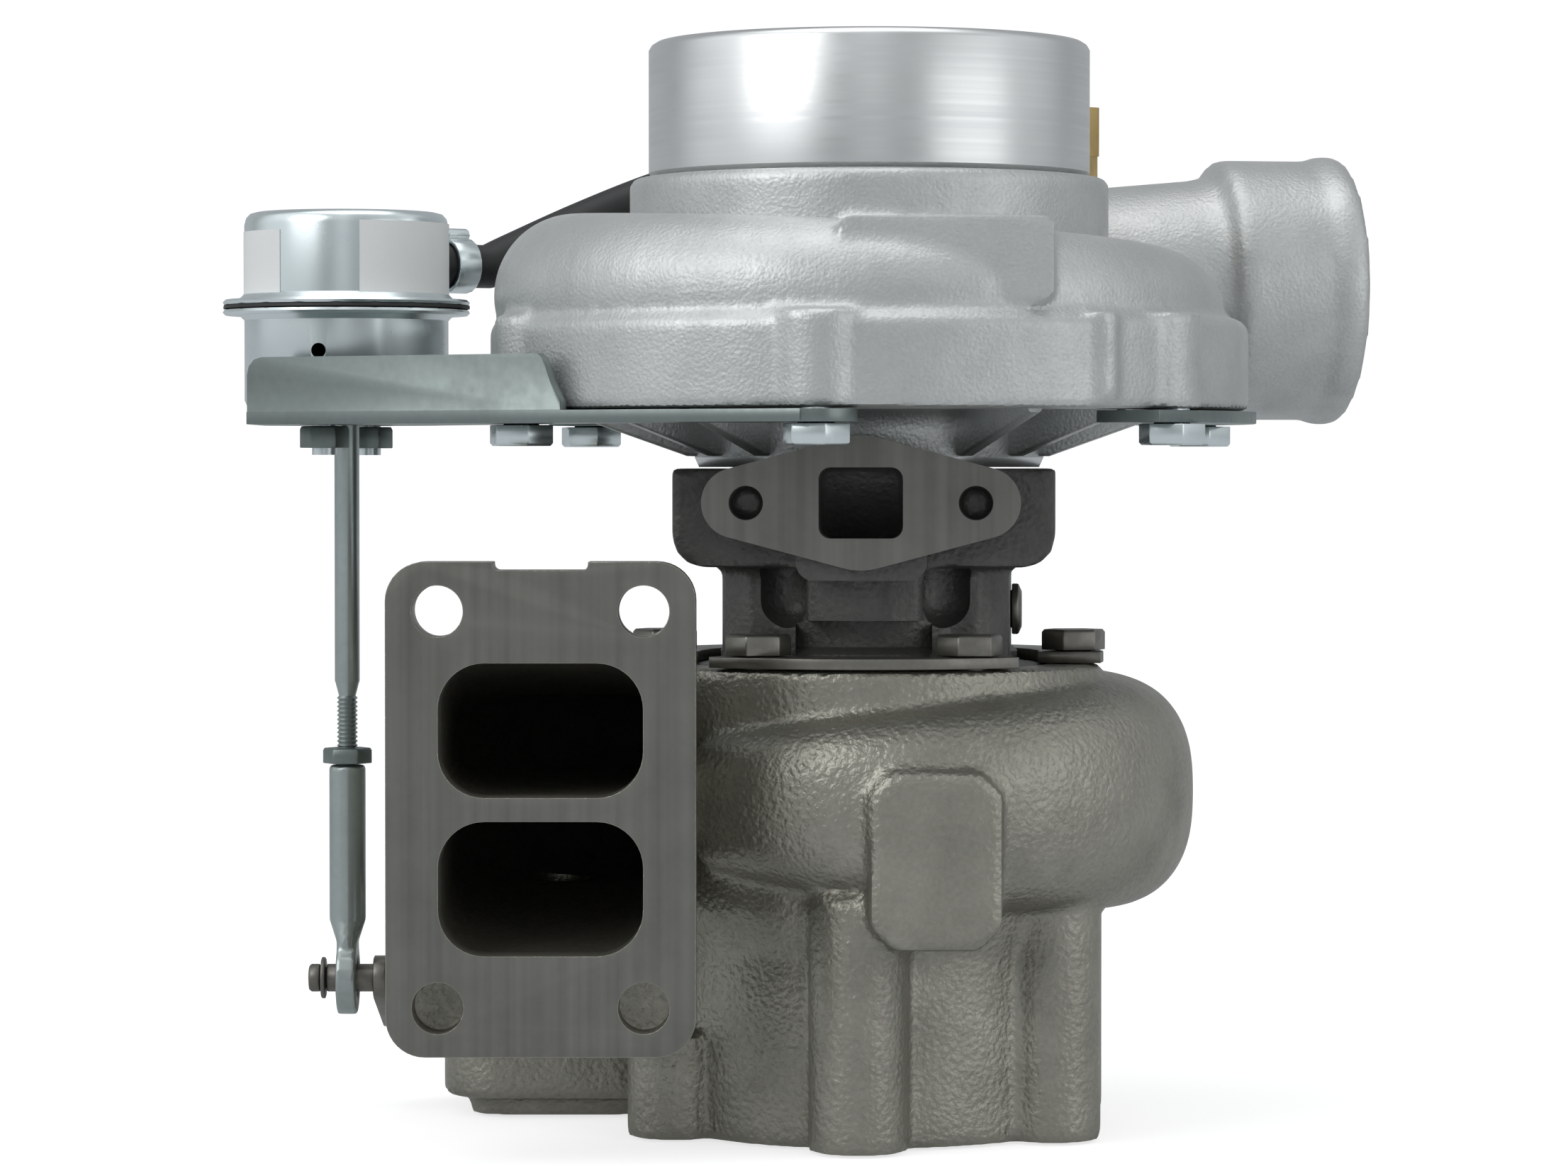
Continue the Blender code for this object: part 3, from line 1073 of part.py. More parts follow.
def passage_rings(level):
    """Rings of one scroll passage: level 1 is the upper one and -1 the lower one."""
    rings = []
    inner = CHAMBER_RADIUS + 0.0050
    half_port = PORT_HEIGHT / 2
    inlet_z = TURBINE_INLET_Z + level * (half_port + DIVIDER / 2)
    for y in (TURBINE_INLET_Y - 0.002, TURBINE_INLET_Y + INLET_FLANGE_THICKNESS):
        port = rounded_rectangle(PORT_WIDTH, PORT_HEIGHT, PORT_CORNER, 2, (TURBINE_INLET_X, inlet_z))
        rings.append([Vector((x, y, z)) for x, z in port])
    turns = 13
    for step in range(turns + 1):
        share = 0.96 * step / turns
        radius, width, height = scroll_size(share)
        outer = radius + width - SCROLL_WALL
        tall = height - SCROLL_WALL - DIVIDER / 2
        wide = outer - inner
        corner = 0.42 * min(tall, wide)
        angle = math.pi - SCROLL_SWEEP * share
        section = rounded_rectangle(wide, tall, corner, 2, (0.0, level * (DIVIDER + tall) / 2))
        rings.append([polar((inner + outer) / 2 - x, angle, SCROLL_HEIGHT + z) for x, z in section])
    return rings


def chamber_outline(grow):
    """Plan of the wastegate chamber, grown or shrunk evenly."""
    width = CHAMBER_RIGHT - CHAMBER_LEFT + 2 * grow
    depth = CHAMBER_BACK - CHAMBER_FRONT + 2 * grow
    centre = ((CHAMBER_LEFT + CHAMBER_RIGHT) / 2, (CHAMBER_FRONT + CHAMBER_BACK) / 2)
    return rounded_rectangle(width, depth, max(CHAMBER_CORNER + grow, 0.003), 4, centre)


def inlet_flange_outline():
    """Turbine inlet flange: round corners, slightly bulged sides and a notch in its top."""
    half = INLET_FLANGE_WIDTH / 2
    tall = INLET_FLANGE_HEIGHT / 2
    corner = INLET_FLANGE_CORNER
    points = []
    for quarter, (sx, sz) in enumerate(((1, -1), (1, 1), (-1, 1), (-1, -1))):
        start = -math.pi / 2 + quarter * math.pi / 2
        points += arc((sx * (half - corner), sz * (tall - corner)), corner, start, start + math.pi / 2, 4)
        if quarter in (0, 2):
            points.append((sx * (half + INLET_FLANGE_BULGE), 0.0))
        if quarter == 1:
            for way in (1, -1):
                edge = way * INLET_NOTCH_WIDTH / 2
                steps = [(edge + way * 0.001, tall), (edge, tall - INLET_NOTCH_DEPTH)]
                points += steps if way == 1 else steps[::-1]
    return [(x + TURBINE_INLET_X, z + TURBINE_INLET_Z) for x, z in points]


def flap_centre():
    """Place of the wastegate flap in plan."""
    return TURBINE_INLET_X, WASTEGATE_Y - FLAP_ARM


def build_turbine_housing(assembly):
    """Turbine housing: twin scroll, inlet flange, outlet with bolt bosses, wastegate chamber."""
    shoulder = SCROLL_LOW_Z
    profile = [(0.0, 0.0), (OUTLET_BODY_RADIUS, 0.0), (OUTLET_BODY_RADIUS, shoulder - 0.006),
               (HOUSING_TOP_RADIUS - 0.002, shoulder + 0.004), (HOUSING_TOP_RADIUS, HOUSING_HEIGHT - 0.004),
               (HOUSING_TOP_RADIUS, HOUSING_HEIGHT), (0.0, HOUSING_HEIGHT)]
    housing = piece("turbine_housing", revolve(profile), assembly, "cast_iron")
    join(housing, "scroll", loft(scroll_rings()))
    angles = bolt_angles(OUTLET_BOSS_CLOCK)
    for index, angle in enumerate(angles):
        tall = SHORT_BOSS_HEIGHT if index == 5 else OUTLET_BOSS_HEIGHT
        boss = cylinder(OUTLET_BOSS_RADIUS, RELIEF, tall, 12, polar(OUTLET_BOSS_CIRCLE, angle))
        join(housing, "outlet_boss_%d" % (index + 1), boss)
    back = TURBINE_INLET_Y + INLET_FLANGE_THICKNESS
    join(housing, "inlet_flange", slab_y(inlet_flange_outline(), TURBINE_INLET_Y, back))
    half = FRONT_PAD_WIDTH / 2
    clip = 0.004
    pad = [(FRONT_PAD_X - half, FRONT_PAD_BOTTOM), (FRONT_PAD_X + half - 0.001, FRONT_PAD_BOTTOM),
           (FRONT_PAD_X + half, FRONT_PAD_TOP - clip), (FRONT_PAD_X + half - clip, FRONT_PAD_TOP),
           (FRONT_PAD_X - half + 1.6 * clip, FRONT_PAD_TOP - 0.3 * clip),
           (FRONT_PAD_X - half, FRONT_PAD_TOP - 2 * clip)]
    join(housing, "front_pad", slab_y(pad, FRONT_PAD_Y, -OUTLET_BODY_RADIUS + 0.004))
    inset = CHAMBER_RIM_INSET
    rings = [[Vector((x, y, z)) for x, y in chamber_outline(-shrink)]
             for z, shrink in ((RELIEF, inset), (CHAMBER_RIM_HEIGHT, inset),
                               (CHAMBER_RIM_HEIGHT + 0.0010, 0.62 * inset),
                               (CHAMBER_RIM_HEIGHT + 0.0070, 0.0), (CHAMBER_TOP, 0.0))]
    join(housing, "wastegate_chamber", loft(rings))
    boss_radius = WASTEGATE_SHAFT_RADIUS + RUNNING_GAP + BUSH_WALL + BUSH_BOSS_WALL
    join(housing, "bush_boss", bar_x(boss_radius, BUSH_OUTER_X, CHAMBER_LEFT + 0.0035,
                                     WASTEGATE_Y, WASTEGATE_Z, 18))
    exducer = TURBINE_EXDUCER_RADIUS + TIP_CLEARANCE
    tip = [meridian((exducer, TURBINE_NOSE_Z), (CHAMBER_RADIUS, TURBINE_TIP_Z - TURBINE_TIP_WIDTH), step / 3)
           for step in range(4)]
    bore = [(0.0, -0.002), (OUTLET_BORE_RADIUS, -0.002), (OUTLET_BORE_RADIUS, 0.012),
            (exducer, TURBINE_NOSE_Z - 0.006)] + tip
    bore += [(CHAMBER_RADIUS, SPIGOT_FLOOR_Z), (SPIGOT_RADIUS, SPIGOT_FLOOR_Z),
             (SPIGOT_RADIUS, HOUSING_HEIGHT + 0.002), (0.0, HOUSING_HEIGHT + 0.002)]
    cut(housing, "bore", turned(revolve(bore), HALF_STEP))
    for name, level in (("upper", 1), ("lower", -1)):
        cut(housing, name + "_passage", loft(passage_rings(level)))
    middle = TURBINE_TIP_Z - TURBINE_TIP_WIDTH / 2
    cut(housing, "nozzle", ring_of(CHAMBER_RADIUS - 0.003, CHAMBER_RADIUS + 0.0105,
                                   middle - NOZZLE_WIDTH / 2, middle + NOZZLE_WIDTH / 2))
    inner = chamber_outline(-CHAMBER_RIM_INSET - CHAMBER_WALL / 2)
    wide = chamber_outline(-CHAMBER_WALL)
    cut(housing, "chamber_hollow", loft([[Vector((x, y, z)) for x, y in outline] for z, outline in (
        (-0.002, inner), (CHAMBER_RIM_HEIGHT, inner), (CHAMBER_RIM_HEIGHT + 0.006, wide),
        (FLAP_SEAT_Z, wide))]))
    cut(housing, "bypass", cylinder(BYPASS_RADIUS, FLAP_SEAT_Z - 0.001,
                                    SCROLL_HEIGHT - DIVIDER, 16, flap_centre()))
    cut(housing, "bush_hole", bar_x(boss_radius - BUSH_BOSS_WALL + GAP, BUSH_OUTER_X - 0.002,
                                    CHAMBER_LEFT + 0.02, WASTEGATE_Y, WASTEGATE_Z, 16))
    top_holes = [(x, INLET_HOLE_SPACING_Z / 2, back + 0.002) for x in (-1, 1)]
    low_holes = [(x, -INLET_HOLE_SPACING_Z / 2, TURBINE_INLET_Y + INLET_BLIND_DEPTH) for x in (-1, 1)]
    for number, (sign, rise, end) in enumerate(top_holes + low_holes, 1):
        spot = (TURBINE_INLET_X + sign * INLET_HOLE_SPACING_X / 2, TURBINE_INLET_Z + rise)
        cut(housing, "inlet_hole_%d" % number, slab_y(circle(INLET_HOLE_RADIUS, 12, spot),
                                                      TURBINE_INLET_Y - 0.001, end))
    cut(housing, "outlet_holes", at_bolts(OUTLET_BOSS_CIRCLE, OUTLET_BOSS_CLOCK, lambda: cylinder(
        OUTLET_STUD_RADIUS, -0.001, OUTLET_STUD_DEPTH, 8)))
    cut(housing, "clamp_holes", at_bolts(TURBINE_BOLT_CIRCLE, TURBINE_BOLT_CLOCK, lambda: cylinder(
        BOLT_HOLE_RADIUS, HOUSING_HEIGHT - TURBINE_BOLT_GRIP - GAP, HOUSING_HEIGHT + 0.001)))
    return housing


def build_turbine_fasteners(assembly):
    """Three clamp plates that hold the centre housing down, and the six turbine bolts."""
    angles = bolt_angles(TURBINE_BOLT_CLOCK)
    low = HOUSING_HEIGHT + GAP
    top = low + TURBINE_PLATE_THICKNESS
    for number in range(BOLT_COUNT // 2):
        pair = (2 * number, 2 * number + 1)
        middle = (angles[pair[0]] + angles[pair[1]]) / 2
        plate = piece("turbine_clamp_plate_%d" % (number + 1),
                      sector(TURBINE_PLATE_INNER, HOUSING_TOP_RADIUS + TURBINE_PLATE_OVERHANG, middle,
                             TURBINE_PLATE_HALF_ANGLE, low, top), assembly, "dark_steel")
        for index in pair:
            spot = polar(TURBINE_BOLT_CIRCLE, angles[index])
            cut(plate, "hole_%d" % index, cylinder(BOLT_HOLE_RADIUS, low - 0.001, top + 0.001,
                                                   SMALL_STEPS, spot))
    for index, angle in enumerate(angles):
        length = TURBINE_BOLT_GRIP + TURBINE_PLATE_THICKNESS + GAP
        bolt = piece("turbine_bolt_%d" % (index + 1), hex_bolt(length, -1), assembly, "dark_steel")
        bolt.location = polar(TURBINE_BOLT_CIRCLE, angle, top + GAP)
        bolt.rotation_euler.z = angle + 0.2


def build_wastegate(pivot):
    """Wastegate bush, shaft with its arm, flap, lever, pin and clip, about the pivot's axis."""
    shaft = WASTEGATE_SHAFT_RADIUS
    bush_in = shaft + RUNNING_GAP
    bush_out = bush_in + BUSH_WALL
    left = BUSH_OUTER_X - BUSH_PROUD
    bush = turned(ring_of(bush_in, bush_out, left, left + BUSH_LENGTH, 16), math.pi / 2, "Y")
    piece("wastegate_bush", bush, pivot.parent, "bronze").location = pivot.location
    flap_x, flap_y = flap_centre()
    flap_y -= WASTEGATE_Y
    flap_z = FLAP_SEAT_Z - GAP - FLAP_THICKNESS - WASTEGATE_Z
    arm_end = flap_x + 0.0062
    spindle = piece("wastegate_shaft", bar_x(shaft, LEVER_X + GAP, arm_end, 0.0, 0.0, 16), pivot,
                    "dark_steel")
    hook = 0.0062
    profile = [(hook, -shaft * 0.9), (hook, shaft * 0.9), (flap_y + 0.004, flap_z - GAP - 0.0006),
               (flap_y - 0.0055, flap_z - GAP - 0.0006), (flap_y - 0.0055, flap_z - 0.0055),
               (flap_y + 0.003, flap_z - 0.0058), (-0.001, -shaft * 0.9)]
    plan = turned(prism([(-z, y) for y, z in profile], flap_x - 0.0048, flap_x + 0.0048), math.pi / 2, "Y")
    join(spindle, "arm", plan)
    stem = 0.0026
    low = flap_z - 0.0058 - GAP
    flap = [(0.0, flap_z + FLAP_THICKNESS), (FLAP_RADIUS, flap_z + FLAP_THICKNESS), (FLAP_RADIUS, flap_z),
            (stem, flap_z), (stem, low - 0.0004), (0.0, low - 0.0004)]
    cut(spindle, "rivet_hole", cylinder(stem + GAP, low - 0.003, flap_z + 0.001, SMALL_STEPS,
                                        (flap_x, flap_y)))
    disc = moved(revolve(flap[::-1], 18), (flap_x, flap_y, 0.0))
    piece("wastegate_flap", disc, pivot, "dark_steel")
    pin_y = ROD_Y - WASTEGATE_Y
    lean = math.atan2(PIN_RISE, pin_y)
    fan = math.acos((LEVER_EAR - PIN_EAR) / math.hypot(pin_y, PIN_RISE))
    outline = arc((0.0, 0.0), LEVER_EAR, lean + fan, lean + 2 * math.pi - fan, 10)
    outline += arc((pin_y, PIN_RISE), PIN_EAR, lean - fan, lean + fan, 6)
    plate = turned(prism([(-z, y) for y, z in outline], LEVER_X, LEVER_X + LEVER_THICKNESS), math.pi / 2, "Y")
    lever = piece("wastegate_lever", plate, pivot, "dark_steel")
    cut(lever, "shaft_hole", bar_x(shaft + GAP, LEVER_X - 0.001, LEVER_X + LEVER_THICKNESS + 0.001, 0, 0, 16))
    cut(lever, "pin_hole", bar_x(PIN_RADIUS + GAP, LEVER_X - 0.001, LEVER_X + LEVER_THICKNESS + 0.001,
                                 pin_y, PIN_RISE, 14))
    pin_left = ROD_X - PIN_OUTBOARD
    groove = pin_left + 0.0026
    width = PIN_CLIP_WIRE + 2 * GAP
    neck = PIN_RADIUS - 0.0009
    pin = [(0.0, pin_left), (PIN_RADIUS - 0.0005, pin_left), (PIN_RADIUS, pin_left + 0.0006),
           (PIN_RADIUS, groove), (neck, groove), (neck, groove + width), (PIN_RADIUS, groove + width),
           (PIN_RADIUS, LEVER_X + LEVER_THICKNESS), (0.0, LEVER_X + LEVER_THICKNESS)]
    place = (0.0, pin_y, PIN_RISE)
    piece("lever_pin", moved(turned(revolve(pin, 14), math.pi / 2, "Y"), place), pivot, "dark_steel")
    clip = ring_of(neck + GAP, PIN_RADIUS + 0.0016, groove + GAP, groove + GAP + PIN_CLIP_WIRE, 14)
    piece("lever_pin_clip", moved(turned(clip, math.pi / 2, "Y"), place), pivot, "steel")


def build_actuator(axis):
    """Boost actuator: two cans, diaphragm, piston and spring, on studs through the bracket."""
    sheet = CAN_SHEET
    low = COVER_Z
    rod_hole = ROD_RADIUS + 0.0006
    inner = CAN_RADIUS - sheet
    lower = [(rod_hole, low), (CAN_RADIUS - 0.002, low), (CAN_RADIUS, low + 0.002),
             (CAN_RADIUS, CAN_RIM_Z - sheet), (CAN_RIM_RADIUS, CAN_RIM_Z - sheet),
             (CAN_RIM_RADIUS, CAN_RIM_Z), (inner, CAN_RIM_Z), (inner, low + sheet + 0.0015),
             (inner - 0.0015, low + sheet), (rod_hole, low + sheet)]
    can = piece("actuator_lower_can", revolve(lower, 24), axis, "zinc")
    studs = [polar(STUD_OFFSET, STUD_ANGLE + turn) for turn in (0.0, math.pi)]
    stud_low = BRACKET_Z - STUD_NUT_HEIGHT - 0.0022
    for number, spot in enumerate(studs, 1):
        join(can, "stud_%d" % number, cylinder(STUD_RADIUS, stud_low, low + sheet / 2, 10, spot))
    vent = slab_y(circle(VENT_RADIUS, 10, (-0.0045, low + VENT_HEIGHT)), -CAN_RADIUS - 0.003,
                  -CAN_RADIUS + 0.006)
    cut(can, "vent", vent)
    corner = CAN_TOP_CORNER
    upper = [(0.0, CAN_TOP_Z - sheet), (inner - corner, CAN_TOP_Z - sheet),
             (inner, CAN_TOP_Z - sheet - corner), (inner, UPPER_RIM_Z), (CAN_RIM_RADIUS, UPPER_RIM_Z),
             (CAN_RIM_RADIUS, UPPER_RIM_Z + sheet), (CAN_RADIUS, UPPER_RIM_Z + sheet),
             (CAN_RADIUS, CAN_TOP_Z - corner), (CAN_RADIUS - 0.3 * corner, CAN_TOP_Z - 0.3 * corner),
             (CAN_RADIUS - corner, CAN_TOP_Z), (0.0, CAN_TOP_Z)]
    cap = piece("actuator_upper_can", revolve(upper, 24), axis, "zinc")
    nipple_z = CAN_TOP_Z - NIPPLE_DROP
    reach = CAN_RADIUS + NIPPLE_LENGTH
    join(cap, "nipple", turned(bar_x(NIPPLE_RADIUS, inner + sheet / 2, reach, 0.0, nipple_z), NIPPLE_ANGLE))
    nipple_bore = bar_x(0.5 * NIPPLE_RADIUS, inner - 0.003, reach + 0.001, 0.0, nipple_z, 8)
    cut(cap, "nipple_bore", turned(nipple_bore, NIPPLE_ANGLE))
    flat = CAN_RIM_Z + GAP
    piston = PISTON_RADIUS
    mid = (piston + inner) / 2
    skin = [(0.0, flat), (piston, flat), (mid, flat + 0.0028), (inner, flat), (CAN_RIM_RADIUS, flat),
            (CAN_RIM_RADIUS, flat + DIAPHRAGM), (inner - 0.0003, flat + DIAPHRAGM),
            (mid, flat + 0.0028 + DIAPHRAGM), (piston + 0.0003, flat + DIAPHRAGM), (0.0, flat + DIAPHRAGM)]
    piece("actuator_diaphragm", revolve(skin, 20), axis, "rubber")
    nut_low = BRACKET_Z - GAP - STUD_NUT_HEIGHT
    for number, spot in enumerate(studs, 1):
        nut = piece("actuator_nut_%d" % number,
                    hex_nut(STUD_NUT_FLATS, STUD_NUT_HEIGHT, STUD_RADIUS + GAP), axis, "zinc")
        nut.location = (spot.x, spot.y, nut_low)
    top = PISTON_TOP_Z - 0.0016
    wall = piston - 0.0014
    cup = [(ROD_RADIUS + GAP, PISTON_TOP_Z), (piston - 0.001, PISTON_TOP_Z), (piston, PISTON_TOP_Z - 0.001),
           (piston, top - PISTON_SKIRT), (wall, top - PISTON_SKIRT), (wall, top), (ROD_RADIUS + GAP, top)]
    piece("actuator_piston", revolve(cup, 18), axis, "zinc")
    base = low + sheet + GAP + SPRING_WIRE / 2
    height = top - GAP - SPRING_WIRE / 2 - base
    count = 8 * SPRING_TURNS
    coil = [polar(SPRING_RADIUS, 2 * math.pi * SPRING_TURNS * step / count, base + height * step / count)
            for step in range(count + 1)]
    piece("actuator_spring", sweep(coil, SPRING_WIRE / 2, 1), axis, "steel")


def edge_run(start, edge):
    """How far the bracket's upturned edge runs before it comes to the cover's flange."""
    along = edge.normalized()
    inside = start + Vector((-along.y, along.x)) * BRACKET_SHEET
    nearest = -inside.dot(along)
    away = inside.length_squared - nearest ** 2
    reach = (COVER_FLANGE_RADIUS + BRACKET_EDGE_CLEARANCE) ** 2
    return nearest - math.sqrt(max(reach - away, 0.0))


def build_bracket(assembly):
    """Actuator bracket: a sheet plate with an upturned front edge, held by two cover bolts."""
    angles = bolt_angles(COVER_BOLT_CLOCK)
    left_angle = angles[5] - 2 * math.pi
    front_bolt = polar(COVER_BOLT_CIRCLE, angles[0])
    left_bolt = polar(COVER_BOLT_CIRCLE, left_angle)
    ear = BRACKET_EAR
    pad = BRACKET_PAD
    left = ACTUATOR_X - pad
    back = ACTUATOR_Y + BRACKET_BACK
    front_left = Vector((left, ACTUATOR_Y - BRACKET_FRONT))
    front_right = Vector((front_bolt.x - 0.4 * ear, front_bolt.y - ear))
    outline = [front_left, front_right]
    outline += arc((front_bolt.x, front_bolt.y), ear, -2.0, 0.9, 5)
    outline += arc((0.0, 0.0), COVER_PLATE_RADIUS - COVER_PLATE_WIDTH, angles[0] - 0.02, left_angle + 0.02, 6)
    outline += [(left_bolt.x + 0.7 * ear, left_bolt.y + 1.4 * ear), (ACTUATOR_X + pad, back)]
    outline += arc((ACTUATOR_X, ACTUATOR_Y), 1.2 * pad, 0.6, math.pi - 0.6, 6)
    outline += [(left, back)]
    bracket = piece("actuator_bracket", prism(outline, BRACKET_Z, PLATE_TOP_Z), assembly, "zinc")
    edge = front_right - front_left
    length = edge_run(front_left, edge)
    top = PLATE_TOP_Z + BRACKET_FLANGE_HEIGHT
    slope = BRACKET_EDGE_SLOPE
    corner = BRACKET_FLANGE_HEIGHT / 3
    wall = [(0.0, BRACKET_Z), (length, BRACKET_Z)]
    wall += [(length - slope * along, PLATE_TOP_Z + BRACKET_FLANGE_HEIGHT * rise)
             for along, rise in ((0.0, 0.12), (0.16, 0.26), (0.42, 0.5), (0.62, 0.76), (0.78, 0.92),
                                 (1.0, 1.0))]
    wall += arc((corner, top - corner), corner, math.pi / 2, math.pi, 3)
    lip = slab_y([(x, z + RELIEF) for x, z in wall], RELIEF, BRACKET_SHEET)
    lip = turned(lip, math.atan2(edge.y, edge.x))
    join(bracket, "upturned_edge", moved(lip, (*front_left, 0.0)))
    low = BRACKET_Z - 0.001
    high = PLATE_TOP_Z + 0.001
    for number, spot in enumerate((front_bolt, left_bolt), 1):
        cut(bracket, "bolt_hole_%d" % number, cylinder(BOLT_HOLE_RADIUS, low, high, SMALL_STEPS, spot))
    for number, turn in enumerate((0.0, math.pi), 1):
        spot = polar(STUD_OFFSET, STUD_ANGLE + turn) + Vector((ACTUATOR_X, ACTUATOR_Y, 0.0))
        cut(bracket, "stud_hole_%d" % number, cylinder(STUD_RADIUS + GAP, low, high, 10, spot))
    cut(bracket, "rod_hole", cylinder(ROD_RADIUS + 4 * GAP, low, high, 14, (ACTUATOR_X, ACTUATOR_Y)))


def build_rod(axis):
    """Actuator rod, its lock nut and the rod end with a flattened eye."""
    thread_low = ROD_END_Z + 0.45 * ROD_END_LENGTH
    rod = [(0.0, thread_low), (ROD_THREAD_RADIUS - 0.0004, thread_low),
           (ROD_THREAD_RADIUS, thread_low + 0.0008), (ROD_THREAD_RADIUS, THREAD_TOP_Z - 0.0015),
           (ROD_RADIUS, THREAD_TOP_Z), (ROD_RADIUS, PISTON_TOP_Z), (0.0, PISTON_TOP_Z)]
    piece("actuator_rod", revolve(rod, 14), axis, "zinc")
    nut = piece("rod_lock_nut", hex_nut(LOCK_NUT_FLATS, LOCK_NUT_HEIGHT, ROD_THREAD_RADIUS + GAP), axis,
                "zinc")
    nut.location.z = LOCK_NUT_Z
    top = ROD_END_Z + ROD_END_LENGTH
    half = EYE_THICKNESS / 2
    wide = EYE_RADIUS * 0.62
    steps = 14
    rings = []
    for z, x_half, y_half, power in ((ROD_END_Z - 0.006, half, wide, 4.0),
                                     (ROD_END_Z - EYE_NECK, half, wide, 3.0),
                                     (ROD_END_Z + 0.003, ROD_END_RADIUS, ROD_END_RADIUS, 2.0),
                                     (top - 0.0006, ROD_END_RADIUS, ROD_END_RADIUS, 2.0),
                                     (top, ROD_END_RADIUS - 0.0006, ROD_END_RADIUS - 0.0006, 2.0)):
        rings.append([Vector((x_half * math.copysign(abs(x) ** (2 / power), x),
                              y_half * math.copysign(abs(y) ** (2 / power), y), z))
                      for x, y in circle(1.0, steps, phase=math.pi / steps)])
    end = piece("rod_end", loft(rings), axis, "zinc")
    join(end, "eye", bar_x(EYE_RADIUS, -half + RELIEF, half - RELIEF, 0.0, PIN_Z, 20))
    cut(end, "pin_hole", bar_x(PIN_RADIUS + PIVOT_CLEARANCE, -0.01, 0.01, 0.0, PIN_Z, 16))
    cut(end, "thread_bore", cylinder(ROD_THREAD_RADIUS + GAP, thread_low - 0.002, top + 0.001, 14))


def build_boost_line(assembly):
    """Brass fitting on the collar, boost hose round the back of the inlet, and its two clips."""
    spot = polar(FITTING_RADIUS_OUT, FITTING_ANGLE)
    base = prism(hexagon(FITTING_FLATS), FITTING_Z, FITTING_Z + FITTING_BASE_HEIGHT)
    fitting = piece("boost_fitting", moved(base, (spot.x, spot.y, 0.0)), assembly, "brass")
    half = FITTING_BLOCK / 2
    block_z = FITTING_Z + FITTING_BASE_HEIGHT - 0.0004
    barb_way = FITTING_ANGLE + math.pi / 2
    barb_z = block_z + half
    block = turned(prism(rounded_rectangle(FITTING_BLOCK, FITTING_BLOCK * 0.94, 0.0014, 2), block_z,
                         block_z + FITTING_BLOCK), barb_way)
    join(fitting, "elbow", moved(block, (spot.x, spot.y, 0.0)))
    join(fitting, "spigot", cylinder(FITTING_SPIGOT_RADIUS, COLLAR_TOP_Z - 0.009, FITTING_Z + 0.001,
                                     SMALL_STEPS, spot))
    barb = turned(bar_x(NIPPLE_RADIUS, 0.0, half + NIPPLE_LENGTH, 0.0, barb_z), barb_way)
    join(fitting, "barb", moved(barb, (spot.x, spot.y, 0.0)))

    fitting_out = polar(1.0, barb_way)
    hose_start = Vector((spot.x, spot.y, barb_z)) + fitting_out * (half + GAP)
    can_way = polar(1.0, NIPPLE_ANGLE)
    hose_end = Vector((ACTUATOR_X, ACTUATOR_Y, CAN_TOP_Z - NIPPLE_DROP)) + can_way * (CAN_RADIUS + 2 * GAP)
    straight = NIPPLE_LENGTH + 0.0010
    bends = [Vector((x, y, COLLAR_TOP_Z + rise)) for x, y, rise in HOSE_BENDS]
    bends = [hose_start + fitting_out * straight, *bends, hose_end + can_way * straight]
    line = [hose_start, *smooth_route(bends, 4), hose_end]
    hose = piece("boost_hose", sweep(line, HOSE_RADIUS, 2), assembly, "rubber")
    overshoot = 0.002
    bore = [line[0] - fitting_out * overshoot] + line[1:-1] + [line[-1] - can_way * overshoot]
    cut(hose, "bore", sweep(bore, HOSE_BORE, 2))
    for name, place, way in (("fitting", hose_start, barb_way), ("actuator", hose_end, NIPPLE_ANGLE)):
        band_in = HOSE_RADIUS + GAP
        band = ring_of(band_in, band_in + CLIP_BAND, CLIP_SETBACK, CLIP_SETBACK + CLIP_WIDTH, 18)
        clip = piece("hose_clip_" + name, turned(turned(band, math.pi / 2, "Y"), way), assembly, "zinc")
        clip.location = place
        ear = turned(bar_x(0.0016, CLIP_SETBACK + RELIEF, CLIP_SETBACK + CLIP_WIDTH - RELIEF, 0.0,
                           band_in + CLIP_BAND + 0.0007, 8), way)
        join(clip, "ear", ear).location = place


def main():
    """Build every piece of the turbocharger."""
    assembly = start_scene()
    rotor = axis_empty("rotor_axis", assembly, (0.0, 0.0, 0.0))
    actuator = axis_empty("actuator_axis", assembly, (ACTUATOR_X, ACTUATOR_Y, 0.0))
    pivot = axis_empty("wastegate_axis", assembly, (0.0, WASTEGATE_Y, WASTEGATE_Z))
    build_cover(assembly)
    build_backplate(assembly)
    build_cover_fasteners(assembly)
    build_compressor_wheel(rotor)
    build_rotor(rotor)
    build_bearings(assembly)
    build_center_housing(assembly)
    build_turbine_housing(assembly)
    build_turbine_fasteners(assembly)
    build_wastegate(pivot)
    build_actuator(actuator)
    build_bracket(assembly)
    build_rod(actuator)
    build_boost_line(assembly)


main()
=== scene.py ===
"""Dressed model of a turbocharger: cast housings, turned and ground faces, actuator and hose."""

from __future__ import annotations

import json
import logging
import math
from dataclasses import dataclass
from enum import Enum
from typing import Callable, Iterable, Mapping, Sequence

import bmesh
import bpy
from mathutils import Matrix, Vector

